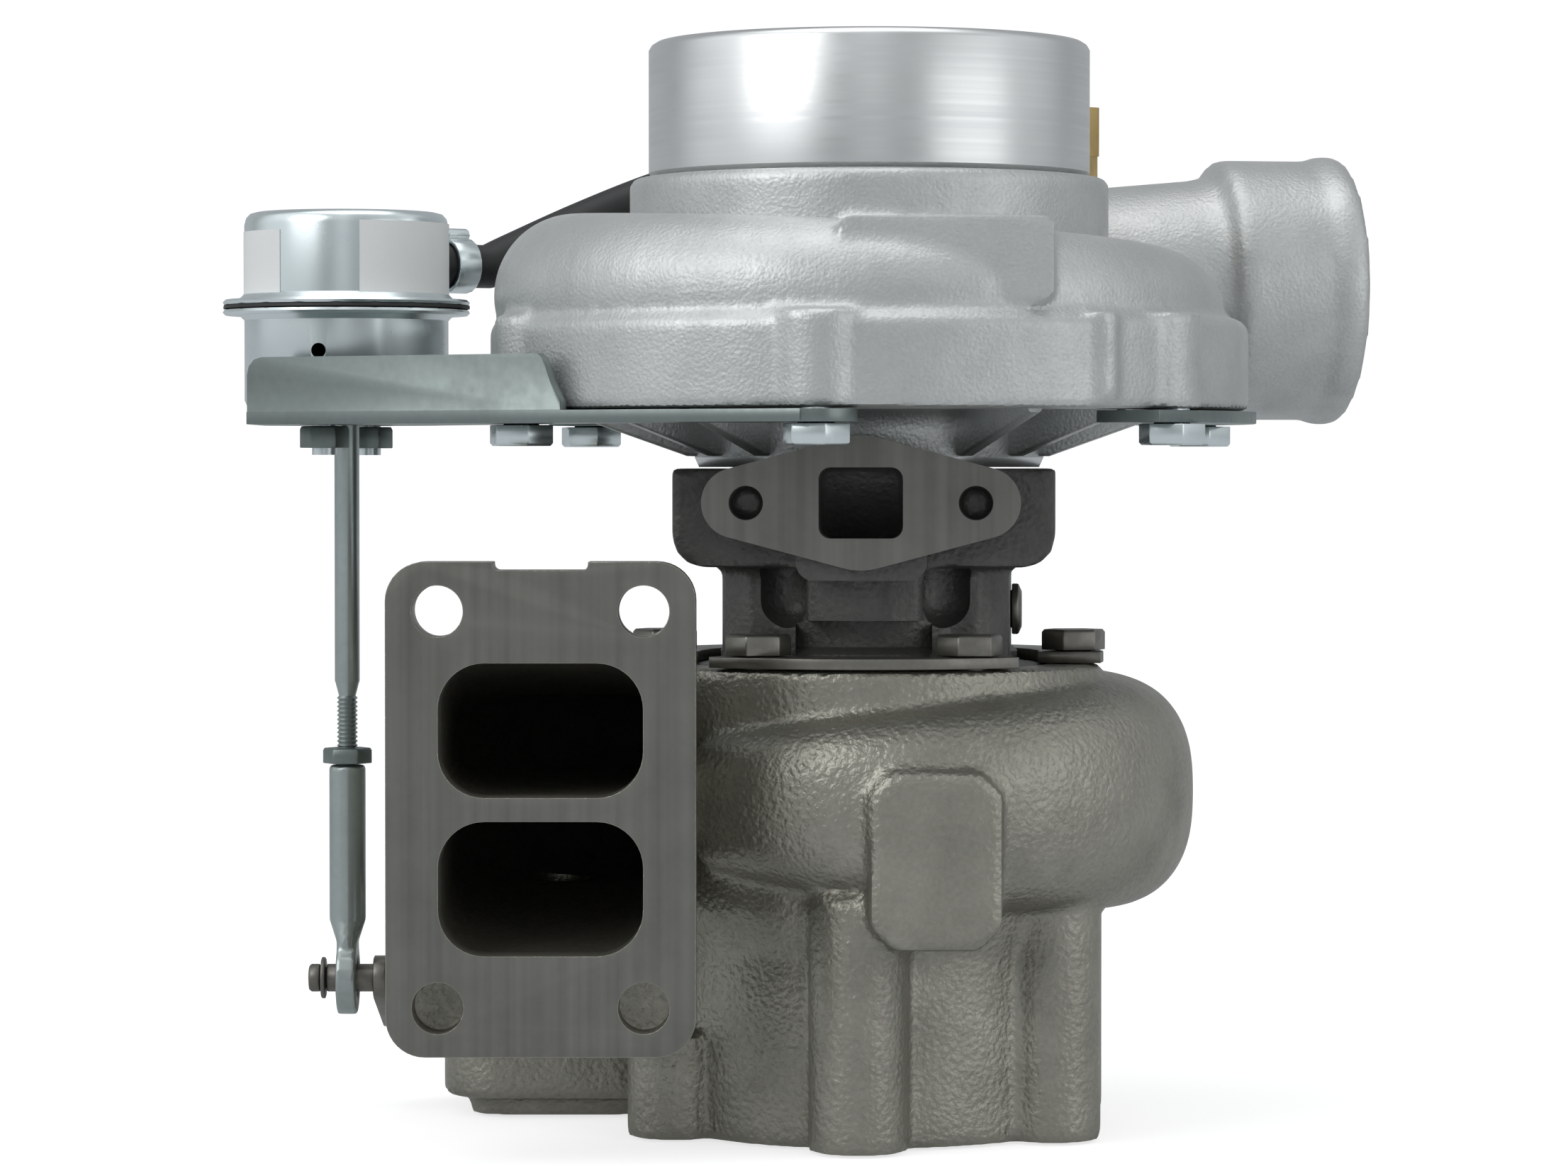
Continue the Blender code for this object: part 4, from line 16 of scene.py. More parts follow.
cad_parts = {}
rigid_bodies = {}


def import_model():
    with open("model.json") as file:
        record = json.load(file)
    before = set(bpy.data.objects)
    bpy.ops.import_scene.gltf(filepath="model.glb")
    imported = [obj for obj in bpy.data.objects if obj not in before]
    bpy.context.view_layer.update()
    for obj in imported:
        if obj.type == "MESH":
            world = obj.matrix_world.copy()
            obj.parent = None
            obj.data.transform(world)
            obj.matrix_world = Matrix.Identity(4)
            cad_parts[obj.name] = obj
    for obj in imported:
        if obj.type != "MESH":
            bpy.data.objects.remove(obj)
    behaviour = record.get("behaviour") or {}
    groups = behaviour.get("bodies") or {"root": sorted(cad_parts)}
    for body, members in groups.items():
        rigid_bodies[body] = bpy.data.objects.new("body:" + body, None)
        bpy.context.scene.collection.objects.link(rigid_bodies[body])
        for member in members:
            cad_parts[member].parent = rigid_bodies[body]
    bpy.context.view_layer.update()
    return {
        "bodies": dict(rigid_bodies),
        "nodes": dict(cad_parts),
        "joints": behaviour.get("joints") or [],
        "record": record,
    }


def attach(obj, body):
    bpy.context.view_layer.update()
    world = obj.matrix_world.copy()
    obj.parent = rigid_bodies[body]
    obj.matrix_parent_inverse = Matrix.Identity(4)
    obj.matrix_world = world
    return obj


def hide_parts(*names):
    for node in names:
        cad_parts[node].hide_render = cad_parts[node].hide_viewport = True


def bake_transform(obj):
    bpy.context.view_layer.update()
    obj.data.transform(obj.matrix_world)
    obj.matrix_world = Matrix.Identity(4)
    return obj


LOG = logging.getLogger("turbocharger")
Pair = tuple[float, float]
Point = tuple[float, float, float]
Colour = tuple[float, float, float]
Mesh = bmesh.types.BMesh
Piece = bpy.types.Object
Tree = bpy.types.NodeTree
Node = bpy.types.Node
Socket = bpy.types.NodeSocket

# Place of the shaft's foot in the row frame
SHAFT_X: float = 0.072
SHAFT_Y: float = 0.075
BASE_Z: float = -0.077
# Place of the boost fitting about the shaft
FITTING_RADIUS: float = 0.0605
FITTING_ANGLE: float = math.radians(38)
# How the centre housing and the backplate are clocked
CLOCKING: float = math.radians(-3)
# Places of the turbine's upper bolts, from the front, in degrees
TURBINE_BOLT_CLOCK: float = -32.5
BODY: str = "housings"
UP: Vector = Vector((0.0, 0.0, 1.0))
RIGHT: Vector = Vector((1.0, 0.0, 0.0))


class Tooling(Enum):
    """How a surface was left by the maker."""

    CAST = "cast"
    GROUND = "ground"
    TURNED = "turned"
    PLATED = "plated"
    MOULDED = "moulded"


def shaft(x: float, y: float, z: float) -> Vector:
    """Turn a place measured from the foot of the shaft into the row frame.

    Args:
        x: Distance to the right of the shaft, in metres.
        y: Distance behind the shaft, in metres.
        z: Height over the turbine outlet face, in metres.

    Returns:
        The place in the row frame.
    """
    return Vector((SHAFT_X + x, SHAFT_Y + y, BASE_Z + z))


FOOT: Vector = shaft(0.0, 0.0, 0.0)


def level(z: float) -> Vector:
    """The point of the shaft's axis at a height over the turbine outlet face."""
    return shaft(0.0, 0.0, z)


def ray(angle: float) -> Vector:
    """The level direction at an angle from +X."""
    return Vector((math.cos(angle), math.sin(angle), 0.0))


def feed(tree: Tree, node: Node, inputs: Mapping[str | int, object]) -> None:
    """Link each input to the socket it is given, or set its number or colour."""
    for key, value in inputs.items():
        if isinstance(value, Socket):
            tree.links.new(value, node.inputs[key])
        else:
            node.inputs[key].default_value = value


def add(tree: Tree, kind: str, inputs: Mapping[str | int, object], **settings: object) -> Node:
    """Add a shader node to a tree.

    Args:
        tree: The tree that gets it.
        kind: Its type, without the ShaderNode prefix.
        inputs: A socket, number or colour for each input that it needs.
        **settings: Its own settings, made before its inputs.

    Returns:
        The node.
    """
    node = tree.nodes.new("ShaderNode" + kind)
    for key, value in settings.items():
        setattr(node, key, value)
    feed(tree, node, inputs)
    return node


def reckon(tree: Tree, operation: str, *values: object, clamp: bool = False) -> Socket:
    """Add a Math node on sockets or numbers, and return its result."""
    return add(tree, "Math", dict(enumerate(values)), operation=operation, use_clamp=clamp).outputs[0]


class EffectGroups:
    """Shader node groups that several finishes share."""

    def __init__(self) -> None:
        """Build each group once."""
        self.grain = self._grain()
        self.lines = self._lines()
        self.stain = self._stain()

    @staticmethod
    def _new(name: str, inputs: Sequence[str],
             outputs: Sequence[str]) -> tuple[Tree, Mapping[str, Socket], Node]:
        """Start a group with a place, number inputs and number outputs.

        Args:
            name: Name of the group.
            inputs: Names of the number inputs.
            outputs: Names of the number outputs.

        Returns:
            The group's tree, what it is given and its output node.
        """
        tree = bpy.data.node_groups.new(name, "ShaderNodeTree")
        tree.interface.new_socket("Place", in_out="INPUT", socket_type="NodeSocketVector")
        for way, labels in (("INPUT", inputs), ("OUTPUT", outputs)):
            for label in labels:
                tree.interface.new_socket(label, in_out=way, socket_type="NodeSocketFloat")
        return tree, tree.nodes.new("NodeGroupInput").outputs, tree.nodes.new("NodeGroupOutput")

    def _grain(self) -> Tree:
        """Sand-cast grain: small pits and crumbs over slow waves."""
        tree, given, result = self._new("sand_cast_grain", ("Grain", "Wave"), ("Height", "Tone"))
        small = {"Vector": given["Place"], "Scale": given["Grain"]}
        large = {"Vector": given["Place"], "Scale": given["Wave"]}
        fine = add(tree, "TexNoise", {**small, "Detail": 3.0}).outputs["Fac"]
        crumbs = add(tree, "TexVoronoi", small, feature="SMOOTH_F1").outputs["Distance"]
        slow = add(tree, "TexNoise", {**large, "Detail": 4.0}).outputs["Fac"]
        pits = reckon(tree, "MULTIPLY_ADD", crumbs, 0.6, fine)
        faint = reckon(tree, "MULTIPLY", fine, 0.4)
        feed(tree, result, {"Height": reckon(tree, "ADD", pits, slow),
                            "Tone": reckon(tree, "MULTIPLY_ADD", slow, 0.6, faint)})
        return tree

    def _lines(self) -> Tree:
        """Fine tool lines: noise at a place that is drawn out along the lines."""
        tree, given, result = self._new("tool_lines", (), ("Height", "Tone"))
        place = given["Place"]
        near = add(tree, "TexNoise", {"Vector": place, "Scale": 1.0, "Detail": 5.0, "Roughness": 0.7})
        broad = add(tree, "TexNoise", {"Vector": place, "Scale": 0.13, "Detail": 2.0})
        feed(tree, result, {"Height": near.outputs["Fac"], "Tone": broad.outputs["Fac"]})
        return tree

    def _stain(self) -> Tree:
        """Handling marks: soft clouds."""
        tree, given, result = self._new("handling_marks", (), ("Mask",))
        cloud = add(tree, "TexNoise", {"Vector": given["Place"], "Scale": 35.0, "Detail": 6.0,
                                       "Roughness": 0.65})
        ramp = add(tree, "MapRange", {"Value": cloud.outputs["Fac"], "From Min": 0.42, "From Max": 0.72})
        feed(tree, result, {"Mask": ramp.outputs["Result"]})
        return tree


@dataclass(frozen=True)
class Finish:
    """A surface finish, made into a material when it is first used."""

    name: str
    colour: Colour
    shade: Colour
    roughness: float
    metallic: float
    tooling: Tooling
    grain: float
    wave: float
    depth: float
    strength: float
    marks: float = 0.35
    spread: float = 0.10

    def material(self, groups: EffectGroups) -> bpy.types.Material:
        """Build the material.

        Args:
            groups: The shared effect groups.

        Returns:
            The finished material.
        """
        made = bpy.data.materials.get(self.name)
        if made:
            return made
        made = bpy.data.materials.new(self.name)
        made.use_nodes = True
        tree = made.node_tree
        place = add(tree, "TexCoord", {}).outputs["Object"]
        if self.tooling in (Tooling.GROUND, Tooling.TURNED):
            effect = add(tree, "Group", {"Place": self._drawn_out(tree, place)}, node_tree=groups.lines)
        else:
            effect = add(tree, "Group", {"Place": place, "Grain": self.grain, "Wave": self.wave},
                         node_tree=groups.grain)
        marks = add(tree, "Group", {"Place": place}, node_tree=groups.stain)
        bump = add(tree, "Bump", {"Strength": self.strength, "Distance": self.depth,
                                  "Height": effect.outputs["Height"]})
        feed(tree, tree.nodes["Principled BSDF"],
             {"Metallic": self.metallic, "Normal": bump.outputs["Normal"],
              **self._look(tree, effect.outputs["Tone"], marks.outputs["Mask"])})
        return made

    def _look(self, tree: Tree, tone: Socket, mask: Socket) -> dict[str, Socket]:
        """Colour and roughness from the grain's tone and the handling marks."""
        part = add(tree, "MapRange", {"Value": tone, "From Min": 0.3, "From Max": 0.7, "To Max": 0.55})
        share = reckon(tree, "MULTIPLY_ADD", mask, self.marks, part.outputs["Result"])
        mix = add(tree, "Mix", {"A": (*self.colour, 1.0), "B": (*self.shade, 1.0), "Factor": share},
                  data_type="RGBA")
        rough = add(tree, "MapRange", {"Value": share, "To Min": self.roughness - self.spread / 2,
                                       "To Max": self.roughness + self.spread})
        return {"Base Color": mix.outputs["Result"], "Roughness": rough.outputs["Result"]}

    def _drawn_out(self, tree: Tree, place: Socket) -> Socket:
        """Coordinates that change fast across the tool lines and slowly along them."""
        if self.tooling is Tooling.GROUND:
            scale = (self.grain, self.grain, self.wave)
            return add(tree, "Mapping", {"Vector": place, "Scale": scale}).outputs["Vector"]
        centred = add(tree, "Mapping", {"Vector": place, "Location": (-SHAFT_X, -SHAFT_Y, 0.0)})
        x, y, z = add(tree, "SeparateXYZ", {"Vector": centred.outputs["Vector"]}).outputs
        flat = add(tree, "CombineXYZ", {"X": x, "Y": y}).outputs["Vector"]
        radius = add(tree, "VectorMath", {0: flat}, operation="LENGTH").outputs["Value"]
        bearing = reckon(tree, "DIVIDE", x, radius)
        joined = add(tree, "CombineXYZ", {"X": radius, "Y": bearing, "Z": z}).outputs["Vector"]
        return add(tree, "VectorMath", {0: joined, 1: (self.grain, self.wave, self.grain)},
                   operation="MULTIPLY").outputs["Vector"]


CAST_ALUMINIUM = Finish("sand_cast_aluminium", (0.66, 0.67, 0.662), (0.46, 0.47, 0.468), 0.46, 0.80,
                        Tooling.CAST, 1250.0, 75.0, 0.00030, 0.42)
TURNED_ALUMINIUM = Finish("turned_aluminium", (0.80, 0.81, 0.81), (0.66, 0.67, 0.68), 0.33, 1.0,
                          Tooling.TURNED, 4200.0, 1.2, 0.00003, 0.25, 0.12, 0.12)
CAST_IRON = Finish("rough_cast_iron", (0.410, 0.396, 0.342), (0.205, 0.198, 0.168), 0.38, 0.78,
                   Tooling.CAST, 820.0, 60.0, 0.00060, 0.55)
GROUND_IRON = Finish("ground_iron", (0.250, 0.248, 0.226), (0.150, 0.148, 0.134), 0.40, 0.85,
                     Tooling.GROUND, 2600.0, 18.0, 0.00004, 0.45, 0.45, 0.12)
DARK_IRON = Finish("dark_cast_iron", (0.140, 0.140, 0.130), (0.070, 0.070, 0.064), 0.46, 0.60,
                   Tooling.CAST, 800.0, 70.0, 0.00040, 0.50)
ZINC = Finish("zinc_plate", (0.78, 0.85, 0.87), (0.70, 0.77, 0.79), 0.27, 0.92,
              Tooling.PLATED, 260.0, 30.0, 0.00002, 0.05, 0.25, 0.06)
# Zinc plate with painted shade: the same plating as ZINC, its colour darkened to stand in for the darker
# light on the bracket, clamp plates and nuts, and made rougher
SHADED_DULL_ZINC = Finish("dull_zinc_plate_painted_shade", (0.245, 0.285, 0.275), (0.175, 0.200, 0.195), 0.36, 0.90,
                   Tooling.PLATED, 500.0, 30.0, 0.00003, 0.20, 0.35, 0.14)
ROD_ZINC = Finish("rod_zinc_plate", (0.47, 0.52, 0.51), (0.33, 0.37, 0.36), 0.32, 0.90,
                  Tooling.PLATED, 500.0, 30.0, 0.00003, 0.18, 0.25, 0.12)
DARK_STEEL = Finish("blackened_steel", (0.270, 0.260, 0.235), (0.150, 0.142, 0.128), 0.38, 0.9,
                    Tooling.PLATED, 700.0, 60.0, 0.00004, 0.30, 0.40, 0.16)
STEEL = Finish("machined_steel", (0.52, 0.52, 0.50), (0.40, 0.40, 0.39), 0.30, 1.0,
               Tooling.TURNED, 4200.0, 1.5, 0.00003, 0.35, 0.25, 0.10)
BRASS = Finish("yellow_brass", (0.68, 0.50, 0.22), (0.46, 0.32, 0.13), 0.30, 1.0,
               Tooling.PLATED, 600.0, 60.0, 0.00003, 0.25, 0.35, 0.14)
BRONZE = Finish("bearing_bronze", (0.52, 0.36, 0.19), (0.36, 0.24, 0.12), 0.34, 1.0,
                Tooling.TURNED, 4200.0, 1.5, 0.00003, 0.30, 0.30, 0.12)
RUBBER = Finish("black_rubber", (0.014, 0.014, 0.015), (0.024, 0.024, 0.024), 0.52, 0.0,
                Tooling.MOULDED, 1400.0, 80.0, 0.00006, 0.30, 0.40, 0.14)
PAPER = Finish("blank_label", (0.93, 0.93, 0.92), (0.86, 0.86, 0.86), 0.55, 0.0,
               Tooling.MOULDED, 1800.0, 60.0, 0.00002, 0.20, 0.20, 0.10)


class Workshop:
    """Mesh tools: copies of solids, lathe work, casting and machining."""

    def __init__(self, frame: dict, groups: EffectGroups) -> None:
        """Keep the frame's nodes and the shared effects."""
        self.nodes: dict[str, Piece] = frame["nodes"]
        self.groups = groups

    def copy_of(self, name: str) -> Mesh:
        """A welded copy of a CAD node's mesh."""
        bm = bmesh.new()
        bm.from_mesh(self.nodes[name].data)
        bmesh.ops.remove_doubles(bm, verts=bm.verts, dist=1e-6)
        return bm

    @staticmethod
    def lathe(profile: Iterable[Pair], centre: Vector, steps: int = 128, closed: bool = True) -> Mesh:
        """Turn a profile about an upright axis.

        Args:
            profile: Radius and height pairs, measured from the centre.
            centre: The point on the axis where height is zero.
            steps: Facets round the turn.
            closed: True to join the profile's end to its start.

        Returns:
            The turned mesh.
        """
        bm = bmesh.new()
        verts = [bm.verts.new((radius, 0.0, height)) for radius, height in profile]
        edges = [bm.edges.new(pair) for pair in zip(verts, verts[1:])]
        if closed:
            edges.append(bm.edges.new((verts[-1], verts[0])))
        bmesh.ops.spin(bm, geom=verts + edges, axis=UP, cent=(0, 0, 0), angle=2 * math.pi, steps=steps,
                       use_merge=True)
        bmesh.ops.remove_doubles(bm, verts=bm.verts, dist=1e-6)
        bmesh.ops.recalc_face_normals(bm, faces=bm.faces)
        bmesh.ops.translate(bm, vec=centre, verts=bm.verts)
        return bm

    @staticmethod
    def rod(radius: float, start: Vector, end: Vector, steps: int = 48) -> Mesh:
        """A round bar between two points."""
        bm = bmesh.new()
        way = end - start
        turn = UP.rotation_difference(way).to_matrix().to_4x4()
        bmesh.ops.create_cone(bm, cap_ends=True, segments=steps, radius1=radius, radius2=radius,
                              depth=way.length, matrix=Matrix.Translation((start + end) / 2) @ turn)
        return bm

    def posts(self, radius: float, spots: Iterable[Vector], height: float, steps: int = 48) -> list[Mesh]:
        """Upright round bars that start at several places."""
        return [self.rod(radius, spot, spot + height * UP, steps) for spot in spots]

    @staticmethod
    def rounded(size: Pair, corner: float, segments: int) -> Mesh:
        """A level sheet with round corners, about the origin."""
        bm = bmesh.new()
        bmesh.ops.create_grid(bm, x_segments=1, y_segments=1, size=0.5)
        bmesh.ops.scale(bm, vec=(*size, 1.0), verts=bm.verts)
        bmesh.ops.bevel(bm, geom=bm.verts[:], offset=corner, affect="VERTICES", segments=segments,
                        profile=0.5, material=-1)
        return bm

    @staticmethod
    def grow(bm: Mesh, way: Point) -> Mesh:
        """Draw a sheet out along a way into a closed body."""
        grown = bmesh.ops.extrude_face_region(bm, geom=bm.faces[:])
        moved = [item for item in grown["geom"] if isinstance(item, bmesh.types.BMVert)]
        bmesh.ops.translate(bm, vec=way, verts=moved)
        bmesh.ops.recalc_face_normals(bm, faces=bm.faces)
        return bm

    def plate(self, size: Pair, corner: float, depths: Pair, centre: Pair, segments: int = 10) -> Mesh:
        """A round-cornered plate that stands upright and faces the front.

        Args:
            size: Width along X and height along Z.
            corner: Corner radius.
            depths: Y of the front face and of the back face.
            centre: X and Z of the middle.
            segments: Facets of each corner.

        Returns:
            The closed plate.
        """
        bm = self.rounded(size, corner, segments)
        bmesh.ops.rotate(bm, matrix=Matrix.Rotation(math.pi / 2, 3, "X"), verts=bm.verts)
        bmesh.ops.translate(bm, vec=(centre[0], depths[0], centre[1]), verts=bm.verts)
        return self.grow(bm, (0.0, depths[1] - depths[0], 0.0))

    def slab(self, size: Pair, corner: float, heights: Pair, centre: Pair) -> Mesh:
        """A round-cornered block that stands level.

        Args:
            size: Width along X and depth along Y.
            corner: Radius of its upright corners.
            heights: Lower and upper height over the turbine outlet face.
            centre: X and Y of its middle, measured from the shaft.

        Returns:
            The closed block.
        """
        bm = self.rounded(size, corner, 8)
        bmesh.ops.translate(bm, vec=shaft(*centre, heights[0]), verts=bm.verts)
        return self.grow(bm, (0.0, 0.0, heights[1] - heights[0]))

    @staticmethod
    def clocked(bm: Mesh, angle: float) -> Mesh:
        """Turn a mesh about the upright axis and set it on the shaft."""
        bmesh.ops.rotate(bm, cent=(0, 0, 0), matrix=Matrix.Rotation(angle, 3, "Z"), verts=bm.verts)
        bmesh.ops.translate(bm, vec=FOOT, verts=bm.verts)
        return bm

    @staticmethod
    def loft(sections: Sequence[Section], points: int = 48) -> Mesh:
        """A closed skin over a row of sections.

        Args:
            sections: The sections, in order.
            points: Points round each section.

        Returns:
            The closed mesh.
        """
        bm = bmesh.new()
        loops = []
        for section in sections:
            ring = bmesh.ops.create_circle(bm, segments=points, radius=1.0)["verts"]
            for vert in ring:
                vert.co = section.at(vert.co)
            loops.append(list(dict.fromkeys(edge for vert in ring for edge in vert.link_edges)))
        for before, after in zip(loops, loops[1:]):
            bmesh.ops.bridge_loops(bm, edges=before + after)
        for end in (loops[0], loops[-1]):
            bmesh.ops.contextual_create(bm, geom=end)
        bmesh.ops.recalc_face_normals(bm, faces=bm.faces)
        return bm

    @staticmethod
    def together(meshes: Iterable[Mesh]) -> Mesh:
        """Several closed meshes in one, which are used up."""
        whole = bmesh.new()
        for bm in meshes:
            mesh = bpy.data.meshes.new("pattern")
            bm.to_mesh(mesh)
            bm.free()
            whole.from_mesh(mesh)
            bpy.data.meshes.remove(mesh)
        return whole

    @staticmethod
    def apply(obj: Piece) -> None:
        """Fix an object's modifiers into its mesh."""
        seen = bpy.context.evaluated_depsgraph_get()
        mesh = bpy.data.meshes.new_from_object(obj.evaluated_get(seen))
        obj.modifiers.clear()
        obj.data = mesh

    @staticmethod
    def to_object(name: str, bm: Mesh) -> Piece:
        """Put a mesh, which is used up, in the scene."""
        mesh = bpy.data.meshes.new(name)
        bm.to_mesh(mesh)
        bm.free()
        obj = bpy.data.objects.new(name, mesh)
        bpy.context.scene.collection.objects.link(obj)
        return obj

    @staticmethod
    def take(obj: Piece) -> Mesh:
        """Take an object out of the scene and keep its mesh."""
        bm = bmesh.new()
        bm.from_mesh(obj.data)
        bpy.data.objects.remove(obj)
        return bm

    def cast(self, name: str, bm: Mesh, voxel: float, rounds: int) -> Piece:
        """Melt a mesh into a casting with soft fillets.

        Args:
            name: Name of the piece.
            bm: The crisp mesh, which is used up.
            voxel: Grid size of the casting, in metres.
            rounds: How often the surface is smoothed.

        Returns:
            The cast object.
        """
        obj = self.to_object(name, bm)
        remesh = obj.modifiers.new("melt", "REMESH")
        remesh.mode = "VOXEL"
        remesh.voxel_size = voxel
        smooth = obj.modifiers.new("flow", "SMOOTH")
        smooth.factor = 0.5
        smooth.iterations = rounds
        self.apply(obj)
        return obj

    def cut(self, obj: Piece, tool: Mesh, operation: str = "DIFFERENCE") -> None:
        """Cut a closed tool, which is used up, out of an object."""
        cutter = self.to_object("tool", tool)
        step = obj.modifiers.new("machine", "BOOLEAN")
        step.operation = operation
        step.solver = "MANIFOLD"
        step.object = cutter
        self.apply(obj)
        bpy.data.objects.remove(cutter)

    def fuse(self, obj: Piece, tool: Mesh) -> None:
        """Fuse a closed mesh, which is used up, on an object."""
        self.cut(obj, tool, "UNION")

    def break_edges(self, obj: Piece, width: float, angle: float) -> None:
        """Break the edges that are sharper than an angle in degrees."""
        edge = obj.modifiers.new("broken_edge", "BEVEL")
        edge.width = width
        edge.segments = 2
        edge.limit_method = "ANGLE"
        edge.angle_limit = math.radians(angle)
        self.apply(obj)

    def piece(self, obj: Piece, finishes: Sequence[Finish], nodes: Sequence[str] = (),
              sharp: float = 38.0, body: str = BODY) -> None:
        """Dress an object and let it ride on a body.

        Args:
            obj: The finished mesh object.
            finishes: Its finishes, in slot order.
            nodes: CAD nodes that it stands for.
            sharp: Edges sharper than this angle, in degrees, stay crisp.
            body: The body that carries it.
        """
        obj.data.materials.clear()
        for finish in finishes:
            obj.data.materials.append(finish.material(self.groups))
        obj.data.shade_smooth()
        obj.data.set_sharp_from_angle(angle=math.radians(sharp))
        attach(obj, body)
        if nodes:
            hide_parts(*nodes)
        LOG.info("%s: %d faces", obj.name, len(obj.data.polygons))

    @staticmethod
    def paint(obj: Piece, index: int, test: Callable[[Vector, Vector], bool]) -> None:
        """Give the faces whose centre and normal pass a test another material slot."""
        for face in obj.data.polygons:
            if test(face.center, face.normal):
                face.material_index = index


@dataclass(frozen=True)
class Section:
    """One section of a loft: its middle, the way its width runs, its half sizes and its squareness."""

    middle: Vector
    side: Vector
    half_width: float
    half_height: float
    squareness: float = 2.0

    def at(self, unit: Vector) -> Vector:
        """Set a point of the unit circle on this section.

        Args:
            unit: The point, whose X runs along the width and whose Y runs up.

        Returns:
            The point in the row frame.
        """
        power = 2.0 / self.squareness
        across = self.half_width * math.copysign(abs(unit.x) ** power, unit.x)
        rise = self.half_height * math.copysign(abs(unit.y) ** power, unit.y)
        return self.middle + self.side * across + Vector((0.0, 0.0, rise))


def meridian(axial: Pair, radial: Pair, steps: int) -> list[Pair]:
    """The tip line of a blade row, from its axial end to its radial end.

    Args:
        axial: Radius and height of the axial end.
        radial: Radius and height of the radial end.
        steps: Spans along the line.

    Returns:
        Radius and height pairs.
    """
    line = []
    for step in range(steps + 1):
        turn = step / steps * math.pi / 2
        line.append((axial[0] + (radial[0] - axial[0]) * (1 - math.cos(turn)),
                     radial[1] + (axial[1] - radial[1]) * (1 - math.sin(turn))))
    return line


def bolt_spots(radius: float, clock: float, height: float) -> list[Vector]:
    """Places of six bolts on a circle about the shaft.

    Args:
        radius: Radius of the bolt circle.
        clock: Angle of the first bolt from the front, in degrees.
        height: Height over the turbine outlet face.

    Returns:
        The places in the row frame.
    """
    return [level(height) + radius * ray(math.radians(clock - 90 + 60 * index)) for index in range(6)]


